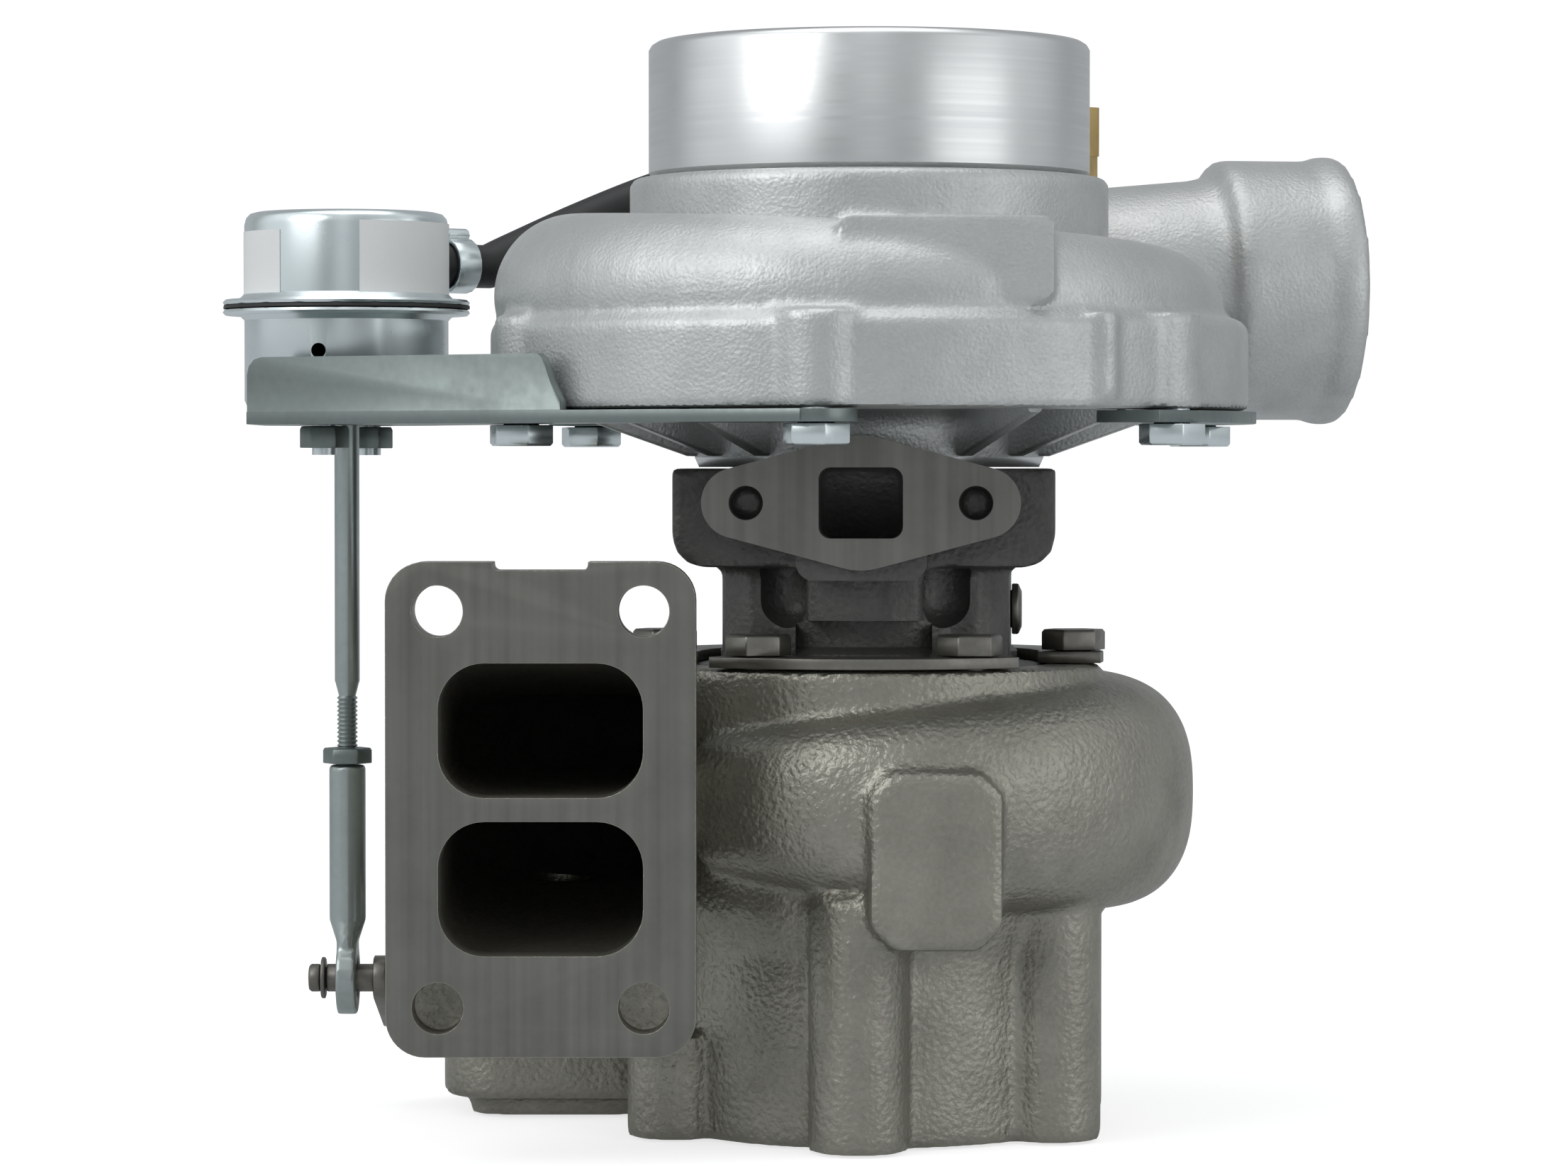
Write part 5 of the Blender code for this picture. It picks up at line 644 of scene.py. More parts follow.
@dataclass
class CompressorCover:
    """Compressor cover: a soft aluminium casting with a turned inlet tube and throat."""

    floor: float = 0.1637
    flange_top: float = 0.1843
    flange_radius: float = 0.0867
    collar_top: float = 0.2168
    collar_radius: float = 0.0548
    inlet_top: float = 0.2478
    inlet_radius: float = 0.0505
    inlet_bore: float = 0.0457
    chamfer: float = 0.0018
    wheel_top: float = 0.1992
    throat: float = 0.0316
    shroud: float = 0.1752
    volute_radius: float = 0.067
    volute_rise: float = 0.0073
    tongue_size: float = 0.0120
    growth: float = 0.0088
    end_size: float = 0.0208
    sweep: float = math.radians(305)
    steps: int = 72
    wall: float = 0.004
    end_turn: float = math.radians(100)
    skew: float = math.radians(10)
    neck: float = 0.0963
    outlet_end: float = 0.1298
    bolt_circle: float = 0.0840
    bolt_clock: float = -8.6
    bolt_bore: float = 0.0043
    bolt_depth: float = 0.0138
    boss: float = 0.011
    rib: float = 0.0042
    rib_clock: float = 35.3
    fitting_boss: float = 0.0085
    fitting_bore: float = 0.0036
    pad: Pair = (0.0464, 0.0185)
    voxel: float = 0.00115

    def build(self, shop: Workshop) -> None:
        """Cast the body, then turn its inlet and bore its passages.

        Args:
            shop: The mesh tools.
        """
        cover = shop.cast("compressor_cover_casting", self._body(shop), self.voxel, 3)
        shop.fuse(cover, self._tube(shop))
        shop.cut(cover, self._throat(shop))
        passage = self.shroud - 0.0018
        shop.cut(cover, shop.loft(self._volute(self.wall, passage), 24))
        shop.cut(cover, shop.loft(self._outlet(self.wall, passage), 48))
        bolts = bolt_spots(self.bolt_circle, self.bolt_clock, self.floor - 0.001)
        fitting = level(self.collar_top - 0.012) + FITTING_RADIUS * ray(FITTING_ANGLE)
        shop.cut(cover, shop.together(shop.posts(self.bolt_bore, bolts, self.bolt_depth, 24)
                                      + shop.posts(self.fitting_bore, [fitting], 0.014, 24)))

        def turned(centre: Vector, normal: Vector) -> bool:
            """True on the lathe-turned faces."""
            radius = (centre - FOOT).to_2d().length
            height = centre.z - FOOT.z
            outside = radius < self.inlet_radius + 0.0003 and height > self.collar_top + 0.0002
            return outside or (radius < self.inlet_bore + 0.0002 and height > self.wheel_top - 0.004)

        shop.piece(cover, (CAST_ALUMINIUM, TURNED_ALUMINIUM), ("compressor_cover",))
        shop.paint(cover, 1, turned)

    def _body(self, shop: Workshop) -> Mesh:
        """The solid pattern: flange, collar, volute, outlet, bosses and pad."""
        flange, top, collar = self.flange_radius, self.flange_top, self.collar_radius
        outer = [(0.0, self.floor), (flange, self.floor), (flange, top - 0.002), (flange - 0.002, top),
                 (collar + 0.006, top + 0.004), (collar, top + 0.012), (collar, self.collar_top - 0.0015),
                 (collar - 0.0012, self.collar_top), (0.0, self.collar_top)]
        parts = [shop.lathe(outer, FOOT, 160, closed=False),
                 shop.loft(self._volute(0.0, self.floor + self.volute_rise), 48),
                 shop.loft(self._outlet(0.0, self.floor + self.volute_rise), 64)]
        bosses = bolt_spots(flange - 0.008, self.bolt_clock, self.floor)
        parts += shop.posts(self.boss, bosses, top + 0.0006 - self.floor)
        rib = level(self.floor + 0.002) + (flange - 0.0022) * ray(math.radians(self.rib_clock - 90))
        parts += shop.posts(self.rib, [rib], top - self.floor - 0.0017)
        pad = shaft(0.0155, -0.0785, self.floor + 0.0413 - 0.00925)
        parts.append(shop.plate(self.pad, 0.0025, (pad.y, SHAFT_Y - 0.047), (pad.x, pad.z), 4))
        fitting = level(top + 0.010) + FITTING_RADIUS * ray(FITTING_ANGLE)
        parts += shop.posts(self.fitting_boss, [fitting], self.collar_top - top - 0.010)
        return shop.together(parts)

    def _volute(self, shrink: float, floor: float) -> list[Section]:
        """Sections of the volute, or of the passage in it.

        Args:
            shrink: How far the sections lie inside the volute's skin.
            floor: Height of the sections' lowest point.

        Returns:
            The sections, from the tongue to the end.
        """
        sections = []
        for step in range(self.steps + 1):
            share = step / self.steps
            size = self.tongue_size + self.growth * share ** 0.75 - shrink
            way = ray(self.end_turn + self.sweep * (1 - share))
            sections.append(Section(level(floor + size) + way * self.volute_radius, way, size, size))
        return sections

    def _outlet(self, shrink: float, floor: float) -> list[Section]:
        """Sections of the straight outlet, or of its bore."""
        size = self.end_size - shrink
        start = level(floor + size) + self.volute_radius * ray(self.end_turn)
        axis_z = BASE_Z + self.floor + self.volute_rise + self.end_size + 0.0024
        neck, end = self.neck, self.outlet_end
        spans = [(-0.006, size - 0.0010), (0.0015, size + 0.0002)]
        if shrink:
            spans += [(0.5 * neck, 0.0210), (neck, 0.0252), (neck + 0.004, 0.02775), (end + 0.002, 0.02775)]
        else:
            spans += [(0.5 * neck, 0.0240), (neck - 0.004, 0.0268), (neck, 0.0276), (neck + 0.0025, 0.0312),
                      (neck + 0.0045, 0.03175), (end - 0.0085, 0.03175), (end - 0.0055, 0.0328),
                      (end - 0.0020, 0.0328), (end, 0.0316)]
        sections = []
        for length, radius in spans:
            middle = start + ray(self.skew) * length
            middle.z += (axis_z - start.z) * min(max(length / neck, 0.0), 1.0)
            sections.append(Section(middle, ray(self.skew + math.pi / 2), radius, radius))
        return sections

    def _tube(self, shop: Workshop) -> Mesh:
        """The turned inlet tube."""
        outer, top, chamfer = self.inlet_radius, self.inlet_top, self.chamfer
        low, inner = self.collar_top - 0.006, self.inlet_bore - 0.003
        profile = [(inner, low), (outer - 0.002, low), (outer - 0.002, self.collar_top - 0.0005),
                   (outer, self.collar_top + 0.0012), (outer, top - chamfer),
                   (outer - 0.35 * chamfer, top - 0.4 * chamfer), (outer - chamfer, top), (inner, top)]
        return shop.lathe(profile, FOOT, 192)

    def _throat(self, shop: Workshop) -> Mesh:
        """The cutter of the seat, the diffuser, the shroud and the inlet."""
        floor, bore, top = self.floor - 0.004, self.inlet_bore, self.inlet_top
        tips = meridian((self.throat, self.wheel_top), (0.0436, self.shroud), 12)
        profile = [(0.0, floor), (0.0783, floor), (0.0783, 0.1695), (0.071, 0.1695),
                   (0.071, self.shroud), *tips[::-1], (self.throat, self.wheel_top + 0.006), (0.0338, 0.2085),
                   (0.0368, 0.2135), (0.0408, 0.2195), (0.0442, 0.2245), (bore, 0.2290), (bore, top - 0.0008),
                   (bore + 0.0008, top), (bore + 0.0008, top + 0.004), (0.0, top + 0.004)]
        return shop.lathe(profile, FOOT, 160, closed=False)


@dataclass
class TurbineHousing:
    """Turbine housing: a rough iron casting with a ground inlet flange."""

    width: float = 0.067
    height: float = 0.107
    corner: float = 0.0085
    thickness: float = 0.0105
    port_width: float = 0.0442
    port_height: float = 0.029
    port_corner: float = 0.010
    port_rise: float = 0.0171
    hole_radius: float = 0.00555
    hole_x: float = 0.02225
    hole_z: float = 0.04285
    notch: Pair = (0.0205, 0.0036)
    pad: Pair = (0.0288, 0.0391)
    top: float = 0.106
    scroll_z: float = 0.0765
    sweep: float = math.radians(315)
    steps: int = 60
    passage_steps: int = 40
    divider: float = 0.0052
    wall: float = 0.0062
    wheel_room: float = 0.0386
    outlet_bore: float = 0.040
    foot_circle: float = 0.049
    foot_clock: float = -3.7
    boss: float = 0.011
    foot_height: float = 0.056
    short_foot: float = 0.0235
    bolt_circle: float = 0.0469
    bolt_bore: float = 0.0043
    chamber: tuple[float, float, float, float] = (-0.099, -0.044, 0.0077, 0.062)
    lever_y: float = 0.044
    lever_z: float = 0.0255
    voxel: float = 0.00135

    def build(self, shop: Workshop) -> None:
        """Cast the body, bore it and grind its flange.

        Args:
            shop: The mesh tools.
        """
        housing = shop.cast("turbine_housing_casting", self._body(shop), self.voxel, 5)
        for tool in self._cutters(shop):
            shop.cut(housing, tool)
        shop.fuse(housing, self._flange(shop))
        shop.piece(housing, (CAST_IRON, GROUND_IRON), ("turbine_housing",))
        shop.paint(housing, 1, lambda centre, normal: normal.y < -0.97 and centre.y < 0.0004)

    def _body(self, shop: Workshop) -> Mesh:
        """The solid pattern: outlet body, scroll, bosses, flange, pad and wastegate chamber."""
        profile = [(0.0, 0.0), (0.0475, 0.0), (0.0475, 0.042), (0.051, 0.052), (0.053, 0.102),
                   (0.053, self.top), (0.0, self.top)]
        parts = [shop.lathe(profile, FOOT, 128, closed=False), shop.loft(self._scroll(), 48)]
        feet = bolt_spots(self.foot_circle, self.foot_clock, 0.0)
        parts += shop.posts(self.boss, feet[:5], self.foot_height)
        parts += shop.posts(self.boss, feet[5:], self.short_foot)
        parts.append(shop.plate((self.width, self.height - 0.0056), self.corner,
                                (self.thickness - 0.0012, 0.0145), (0.0, 0.0)))
        pad = shaft(0.0136, -0.0665, 0.06505)
        parts.append(shop.plate(self.pad, 0.0050, (pad.y, SHAFT_Y - 0.0435), (pad.x, pad.z), 1))
        parts += [self._room(shop, 0.0, 0.014, (0.0042, 0.052)),
                  self._room(shop, 0.0124, 0.0078, (0.0, 0.006)),
                  self._lever_bar(shop, 0.0098, -0.1072, -0.0955)]
        return shop.together(parts)

    def _room(self, shop: Workshop, inset: float, corner: float, heights: Pair) -> Mesh:
        """A block in the form of the wastegate chamber.

        Args:
            shop: The mesh tools.
            inset: How much narrower than the chamber it is.
            corner: Radius of its upright corners.
            heights: Lower and upper height over the turbine outlet face.

        Returns:
            The closed block.
        """
        left, right, front, back = self.chamber
        return shop.slab((right - left - inset, back - front - inset), corner, heights,
                         ((left + right) / 2, (front + back) / 2))

    def _lever_bar(self, shop: Workshop, radius: float, start: float, end: float) -> Mesh:
        """A bar along the wastegate shaft, between two distances from the turbine shaft."""
        return shop.rod(radius, *(shaft(x, self.lever_y, self.lever_z) for x in (start, end)))

    @staticmethod
    def _turn(share: float) -> tuple[float, float, float]:
        """Centre radius, half width and half height of the scroll along its sweep."""
        return (0.045 + 0.027 * (1 - share) ** 2, 0.029 - 0.015 * share ** 2.2,
                0.0285 - 0.0125 * share ** 3.5)

    def _scroll(self) -> list[Section]:
        """Sections of the scroll's skin, from the flange to the tail."""
        inlet_half = self.port_height + self.divider / 2 + self.wall
        back = -0.0635
        sections = []
        for share, blend in ((1.0, 0.0), (0.8, 0.2), (0.6, 0.45), (0.44, 0.7), (0.28, 0.9), (0.12, 0.98)):
            half = inlet_half + (0.0285 - inlet_half) * blend
            middle = shaft(-SHAFT_X, share * back, -BASE_Z - 0.0005 * blend)
            sections.append(Section(middle, RIGHT, 0.029, half, 3.6 - blend))
        for step in range(self.steps + 1):
            share = step / self.steps
            radius, half_width, half_height = self._turn(share)
            way = ray(math.pi - self.sweep * share)
            sections.append(Section(level(self.scroll_z) + way * radius, -way, half_width, half_height, 2.6))
        return sections

    def _passage(self, side: int) -> list[Section]:
        """Sections of one scroll passage: side 1 is the upper one and -1 the lower one."""
        sections = [Section(Vector((0.0, y, side * self.port_rise)), RIGHT, self.port_width / 2 + 0.0004,
                            self.port_height / 2 + 0.0004, 5.0) for y in (0.0080, 0.0145)]
        inner = self.wheel_room + 0.005
        for step in range(self.passage_steps + 1):
            share = 0.96 * step / self.passage_steps
            radius, half_width, half_height = self._turn(share)
            outer = radius + half_width - self.wall
            tall = half_height - self.wall - self.divider / 2
            way = ray(math.pi - self.sweep * share)
            middle = level(self.scroll_z + side * (self.divider + tall) / 2) + way * (inner + outer) / 2
            sections.append(Section(middle, -way, (outer - inner) / 2, tall / 2, 4.0))
        return sections

    def _cutters(self, shop: Workshop) -> list[Mesh]:
        """The bores, passages and holes, in cutting order."""
        outlet, room, top = self.outlet_bore, self.wheel_room, self.top
        bore = [(0.0, -0.004), (outlet + 0.0008, -0.004), (outlet + 0.0008, 0.0004), (outlet, 0.0012),
                (outlet, 0.012), (0.0339, 0.0426), *meridian((0.0339, 0.0486), (room, 0.0731), 8),
                (room, 0.0989), (0.0413, 0.0989), (0.0413, top + 0.002), (0.0, top + 0.002)]
        ring = [(room - 0.003, 0.07335), (room + 0.0105, 0.07335), (room + 0.0105, 0.08735),
                (room - 0.003, 0.08735)]
        seat = shaft(-SHAFT_X, 0.0275, 0.0382)
        feet = bolt_spots(self.foot_circle, self.foot_clock, -0.001)
        bolts = bolt_spots(self.bolt_circle, TURBINE_BOLT_CLOCK, top - 0.0148)
        holes = shop.posts(self.bolt_bore, feet, 0.019, 20) + shop.posts(self.bolt_bore, bolts, 0.016, 20)
        holes += [shop.rod(self.hole_radius + 0.0002, Vector((x, 0.006, self.hole_z)),
                           Vector((x, 0.018, self.hole_z)), 40) for x in (-self.hole_x, self.hole_x)]
        return [shop.lathe(bore, FOOT, 128, closed=False), shop.loft(self._passage(1), 32),
                shop.loft(self._passage(-1), 32), shop.lathe(ring, FOOT, 96),
                self._room(shop, 0.0096, 0.0092, (0.0092, 0.0392)),
                self._room(shop, 0.0172, 0.0054, (-0.002, 0.0094)), *shop.posts(0.0085, [seat], 0.033),
                self._lever_bar(shop, 0.0065, -0.1092, -0.079), shop.together(holes)]

    def _flange(self, shop: Workshop) -> Mesh:
        """The ground flange with its notch, ports and holes."""
        flange = shop.to_object("flange", shop.plate((self.width, self.height), self.corner,
                                                     (0.0, self.thickness), (0.0, 0.0)))
        front, back = -0.002, self.thickness + 0.002
        shop.cut(flange, shop.plate(self.notch, 0.0012, (front, back), (0.0, self.height / 2), 4))
        for side in (-1.0, 1.0):
            shop.cut(flange, shop.plate((self.port_width, self.port_height), self.port_corner, (front, back),
                                        (0.0, side * self.port_rise)))
            x = side * self.hole_x
            for z, depth in ((self.hole_z, back), (-self.hole_z, 0.009)):
                shop.cut(flange, shop.rod(self.hole_radius, Vector((x, front, z)), Vector((x, depth, z))))
        shop.break_edges(flange, 0.0004, 50.0)
        return shop.take(flange)


@dataclass
class CenterHousing:
    """Centre housing: a dark casting with a ground two-eared drain flange."""

    face: float = -0.050
    thickness: float = 0.0060
    drain_z: float = 0.1430
    half_width: float = 0.03525
    ear: float = 0.0078
    bulge: float = 0.0149
    port_width: float = 0.0186
    port_height: float = 0.0157
    hole_x: float = 0.02535
    hole_radius: float = 0.0038
    neck_low: float = 0.1258
    neck_back: float = -0.030
    web_low: float = 0.1167
    collar_low: float = 0.1068
    gap_width: float = 0.0306
    channel: float = 0.0062
    channel_z: float = 0.1210
    channel_circle: float = 0.0350
    voxel: float = 0.0010

    def build(self, shop: Workshop) -> None:
        """Cast the body, then grind the drain flange.

        Args:
            shop: The mesh tools.
        """
        housing = shop.cast("center_housing_casting", shop.copy_of("center_housing"), self.voxel, 3)
        self._waist(shop, housing)
        shop.fuse(housing, self._flange(shop))
        shop.piece(housing, (DARK_IRON, GROUND_IRON), ("center_housing",))
        spin = Matrix.Rotation(CLOCKING, 3, "Z")
        front = FOOT + spin @ Vector((0.0, self.face, self.drain_z))
        way = spin @ Vector((0, -1, 0))
        shop.paint(housing, 1, lambda centre, normal: normal.dot(way) > 0.97
                   and abs((centre - front).dot(way)) < 0.0004)

    def _waist(self, shop: Workshop, housing: Piece) -> None:
        """Open the gap between the legs down to a turned collar, and sink a wrench channel over each bolt.

        Args:
            shop: The mesh tools.
            housing: The casting to cut.
        """
        foot, high = self.collar_low, self.web_low
        low = foot + 0.0017
        gap = shop.plate((self.gap_width, high - low), 0.0012, (-0.046, -0.024), (0.0, (low + high) / 2), 4)
        shop.cut(housing, shop.clocked(gap, CLOCKING))
        collar = [(0.022, foot), (0.0336, foot), (0.0340, foot + 0.0004), (0.0340, foot + 0.0022),
                  (0.0330, foot + 0.0032), (0.0316, foot + 0.0038), (0.0316, high + 0.0018),
                  (0.022, high + 0.0018)]
        shop.fuse(housing, shop.lathe(collar, FOOT, 96))
        size = self.channel
        round_end = [(size * math.cos(turn), size * math.sin(turn))
                     for turn in (math.radians(step * 10 - 90) for step in range(1, 10))]
        capsule = [(0.0, -size), *round_end, (size, 1.17 * size), (0.0, 1.17 * size)]
        for spot in bolt_spots(self.channel_circle, TURBINE_BOLT_CLOCK, self.channel_z):
            if abs(spot.y - SHAFT_Y) > 0.02:
                shop.cut(housing, shop.lathe(capsule, spot, 40, closed=False))

    def _flange(self, shop: Workshop) -> Mesh:
        """The ground drain flange with its neck, port and holes."""
        bm = bmesh.new()
        for x, radius in ((-self.half_width + self.ear, self.ear), (0.0, self.bulge),
                          (self.half_width - self.ear, self.ear)):
            for y in (self.face, self.face + self.thickness):
                place = Matrix.Translation((x, y, self.drain_z)) @ Matrix.Rotation(math.pi / 2, 4, "X")
                bmesh.ops.create_circle(bm, segments=40, radius=radius, matrix=place)
        hull = bmesh.ops.convex_hull(bm, input=bm.verts)
        bmesh.ops.delete(bm, geom=list(set(hull["geom_interior"])), context="VERTS")
        bmesh.ops.dissolve_limit(bm, angle_limit=0.01, verts=bm.verts, edges=bm.edges)
        bmesh.ops.recalc_face_normals(bm, faces=bm.faces)
        flange = shop.to_object("drain", bm)
        top, low, front = self.drain_z + 0.006, self.neck_low, self.face - 0.002
        shop.fuse(flange, shop.plate((self.port_width + 0.0104, top - low), 0.004,
                                     (self.face + 0.003, self.neck_back), (0.0, (top + low) / 2), 6))
        shop.cut(flange, shop.plate((self.port_width, self.port_height), 0.0026,
                                    (front, self.neck_back + 0.002), (0.0, self.drain_z), 6))
        for x in (-self.hole_x, self.hole_x):
            spot = Vector((x, front, self.drain_z))
            shop.cut(flange, shop.rod(self.hole_radius, spot, spot + Vector((0, 0.012, 0))))
        return shop.clocked(shop.take(flange), CLOCKING)


@dataclass
class Backplate:
    """Compressor backplate: a turned hub under the cover, with cast ribs round it."""

    hub: float = 0.040
    hub_z: float = 0.1509
    face_z: float = 0.1637
    diffuser_z: float = 0.1692
    rim: float = 0.0780
    rib_end: float = 0.0690
    ribs: int = 16
    rib_width: float = 0.0036
    register: float = 0.0022
    clear: float = math.radians(20)

    def build(self, shop: Workshop) -> None:
        """Turn the plate and fuse the ribs on.

        Args:
            shop: The mesh tools.
        """
        hub, low, face, top = self.hub, self.hub_z, self.face_z, self.diffuser_z
        profile = [(0.0085, top - 0.0021), (0.044, top - 0.0021), (0.044, top), (self.rim, top),
                   (self.rim, face), (hub + 0.0045, face), (hub + 0.0020, face - 0.0006),
                   (hub + 0.0006, face - 0.0020), (hub, face - 0.0045), (hub, low + 0.0022),
                   (hub - 0.001, low), (0.0122, low), (0.0122, low + 0.0026), (0.0085, low + 0.0026)]
        plate = shop.to_object("backplate_turned", shop.lathe(profile, FOOT, 128))
        front = -math.pi / 2 + CLOCKING
        for index in range(self.ribs):
            angle = front + (index + 0.5) * 2 * math.pi / self.ribs
            away = abs((angle - front + math.pi) % (2 * math.pi) - math.pi)
            if away > self.clear:
                shop.fuse(plate, self._rib(shop, angle))
        shop.piece(plate, (CAST_ALUMINIUM, TURNED_ALUMINIUM), ("compressor_backplate",))
        shop.paint(plate, 1, lambda centre, normal: centre.z < BASE_Z + self.hub_z + self.register)

    def _rib(self, shop: Workshop, angle: float) -> Mesh:
        """One tapered rib that runs out from the hub.

        Args:
            shop: The mesh tools.
            angle: Its bearing about the shaft.

        Returns:
            The closed rib.
        """
        bm = bmesh.new()
        side = [(self.hub - 0.002, self.hub_z + 0.0025), (self.hub + 0.002, self.hub_z + 0.0025),
                (self.rib_end, self.face_z - 0.0008), (self.rib_end, self.face_z + 0.0015),
                (self.hub - 0.002, self.face_z + 0.0015)]
        bm.faces.new([bm.verts.new((x, -self.rib_width / 2, z)) for x, z in side])
        shop.grow(bm, (0.0, self.rib_width, 0.0))
        lower = [edge for edge in bm.edges if abs((edge.verts[0].co - edge.verts[1].co).y) < 1e-6
                 and all(vert.co.z < self.face_z for vert in edge.verts)]
        bmesh.ops.bevel(bm, geom=lower, offset=0.0008, affect="EDGES", segments=3, profile=0.5, material=-1)
        return shop.clocked(bm, angle)


@dataclass
class Actuator:
    """Boost actuator: pressed cans with blank labels, and a threaded rod."""

    x: float = -0.121
    y: float = 0.014
    floor: float = 0.1637
    rim_z: float = 0.1872
    upper_z: float = 0.1886
    top: float = 0.2098
    radius: float = 0.0236
    rim: float = 0.0286
    sheet: float = 0.0012
    stud_circle: float = 0.015
    nipple_angle: float = math.radians(38)
    nipple_radius: float = 0.0031
    nipple_reach: float = 0.0381
    nipple_z: float = 0.1983
    rod_radius: float = 0.0029
    thread_radius: float = 0.00235
    thread_top: float = 0.1007
    thread_low: float = 0.0604
    pitch: float = 0.0010
    # Side, angles from the front in degrees, and heights of each label
    labels: tuple[tuple[str, Pair, Pair], ...] = (
        ("right", (12.0, 96.0), (0.1902, 0.2072)), ("left", (-112.0, -35.0), (0.1902, 0.2052)))

    def axis(self) -> Vector:
        """Foot of the actuator's axis in the row frame."""
        return shaft(self.x, self.y, 0.0)

    def build(self, shop: Workshop) -> None:
        """Press the cans, stick the labels on and turn the rod.

        Args:
            shop: The mesh tools.
        """
        self._lower(shop)
        self._upper(shop)
        for name, angles, heights in self.labels:
            self._label(shop, name, angles, heights)
        self._rod(shop)

    def _lower(self, shop: Workshop) -> None:
        """The lower can with its vent and studs."""
        low, wall, rim, sheet = self.floor, self.radius, self.rim, self.sheet
        top, inner = self.rim_z, wall - sheet
        profile = [(0.0035, low), (wall - 0.0026, low), (wall - 0.0008, low + 0.0008), (wall, low + 0.0026),
                   (wall, top - sheet - 0.0012), (wall + 0.0012, top - sheet), (rim - 0.0006, top - sheet),
                   (rim, top - 0.5 * sheet), (rim - 0.0003, top), (inner, top), (inner, low + sheet + 0.0016),
                   (inner - 0.0016, low + sheet), (0.0035, low + sheet)]
        can = shop.to_object("actuator_can_lower", shop.lathe(profile, self.axis()))
        vent = self.axis() + Vector((-0.0045, 0.0, low + 0.0138))
        shop.cut(can, shop.rod(0.0017, vent - Vector((0, 0.026, 0)), vent - Vector((0, 0.018, 0))))
        for turn in (75.0, 255.0):
            spot = self.axis() + ray(math.radians(turn)) * self.stud_circle
            shop.fuse(can, shop.rod(0.0029, spot + (low + 0.0006) * UP, spot + (low - 0.0100) * UP, 24))
        shop.piece(can, (ZINC,), ("actuator_lower_can",), 35.0)

    def _upper(self, shop: Workshop) -> None:
        """The upper can with its rolled shoulder and nipple."""
        low, wall, rim, sheet = self.upper_z - 0.0002, self.radius, self.rim, self.sheet
        top, inner = self.top, wall - sheet
        profile = [(0.0, top - sheet - 0.0006), (inner - 0.003, top - sheet - 0.0006),
                   (inner, top - sheet - 0.003), (inner, low), (rim - 0.0003, low), (rim, low + 0.5 * sheet),
                   (rim - 0.0006, low + sheet), (wall + 0.0014, low + sheet), (wall, low + sheet + 0.0014),
                   (wall, top - 0.0030), (wall - 0.0004, top - 0.0014), (wall - 0.0013, top - 0.0004),
                   (wall - 0.0028, top), (wall - 0.0042, top - 0.0003), (wall - 0.0052, top - 0.0006),
                   (0.0, top - 0.0006)]
        can = shop.to_object("actuator_can_upper", shop.lathe(profile, self.axis(), closed=False))
        way, foot = ray(self.nipple_angle), self.axis() + self.nipple_z * UP
        nipple, reach = self.nipple_radius, self.nipple_reach
        shop.fuse(can, shop.rod(nipple, foot + way * (wall - 0.0005), foot + way * reach, 32))
        shop.fuse(can, shop.rod(nipple + 0.0012, foot + way * (wall - 0.0008),
                                foot + way * (wall + 0.0003), 32))
        shop.cut(can, shop.rod(0.0016, foot + way * (wall - 0.004), foot + way * (reach + 0.002), 20))
        shop.piece(can, (ZINC,), ("actuator_upper_can",), 35.0)

    def _label(self, shop: Workshop, name: str, angles: Pair, heights: Pair) -> None:
        """A blank label round the upper can.

        Args:
            shop: The mesh tools.
            name: Which label it is.
            angles: First and last angle from the front, in degrees, positive to the right.
            heights: Height of the lower and of the upper edge.
        """
        bm = bmesh.new()
        radius = self.radius + 0.00005
        first = math.radians(angles[0] - 90.0)
        spot = self.axis() + Vector((radius * math.cos(first), radius * math.sin(first), 0.0))
        verts = [bm.verts.new((spot.x, spot.y, spot.z + height)) for height in heights]
        edge = bm.edges.new(verts)
        bmesh.ops.spin(bm, geom=verts + [edge], axis=UP, cent=self.axis(),
                       angle=math.radians(angles[1] - angles[0]), steps=28)
        bmesh.ops.recalc_face_normals(bm, faces=bm.faces)
        face = bm.faces[:][0]
        if (face.calc_center_median() - self.axis()).to_2d().dot(face.normal.to_2d()) < 0:
            bmesh.ops.reverse_faces(bm, faces=bm.faces)
        bmesh.ops.solidify(bm, geom=bm.faces[:], thickness=-0.00012)
        bmesh.ops.recalc_face_normals(bm, faces=bm.faces)
        shop.piece(shop.to_object("blank_label_" + name, bm), (PAPER,), sharp=35.0)

    def _rod(self, shop: Workshop) -> None:
        """The rod with a rolled thread at its foot."""
        core, crest, radius = self.thread_radius - 0.0004, self.thread_radius + 0.0001, self.rod_radius
        profile = [(0.0, self.thread_low), (core, self.thread_low)]
        height = self.thread_low + 0.0004
        while height < self.thread_top - 0.0030:
            profile += [(core, height), (crest, height + 0.45 * self.pitch)]
            height += self.pitch
        profile += [(core, height), (radius - 0.0002, self.thread_top), (radius, self.thread_top + 0.0006),
                    (radius, self.rim_z), (0.0, self.rim_z)]
        rod = shop.to_object("actuator_rod_turned", shop.lathe(profile, self.axis(), 40, closed=False))
        shop.piece(rod, (ROD_ZINC,), ("actuator_rod",), 50.0, "rod")


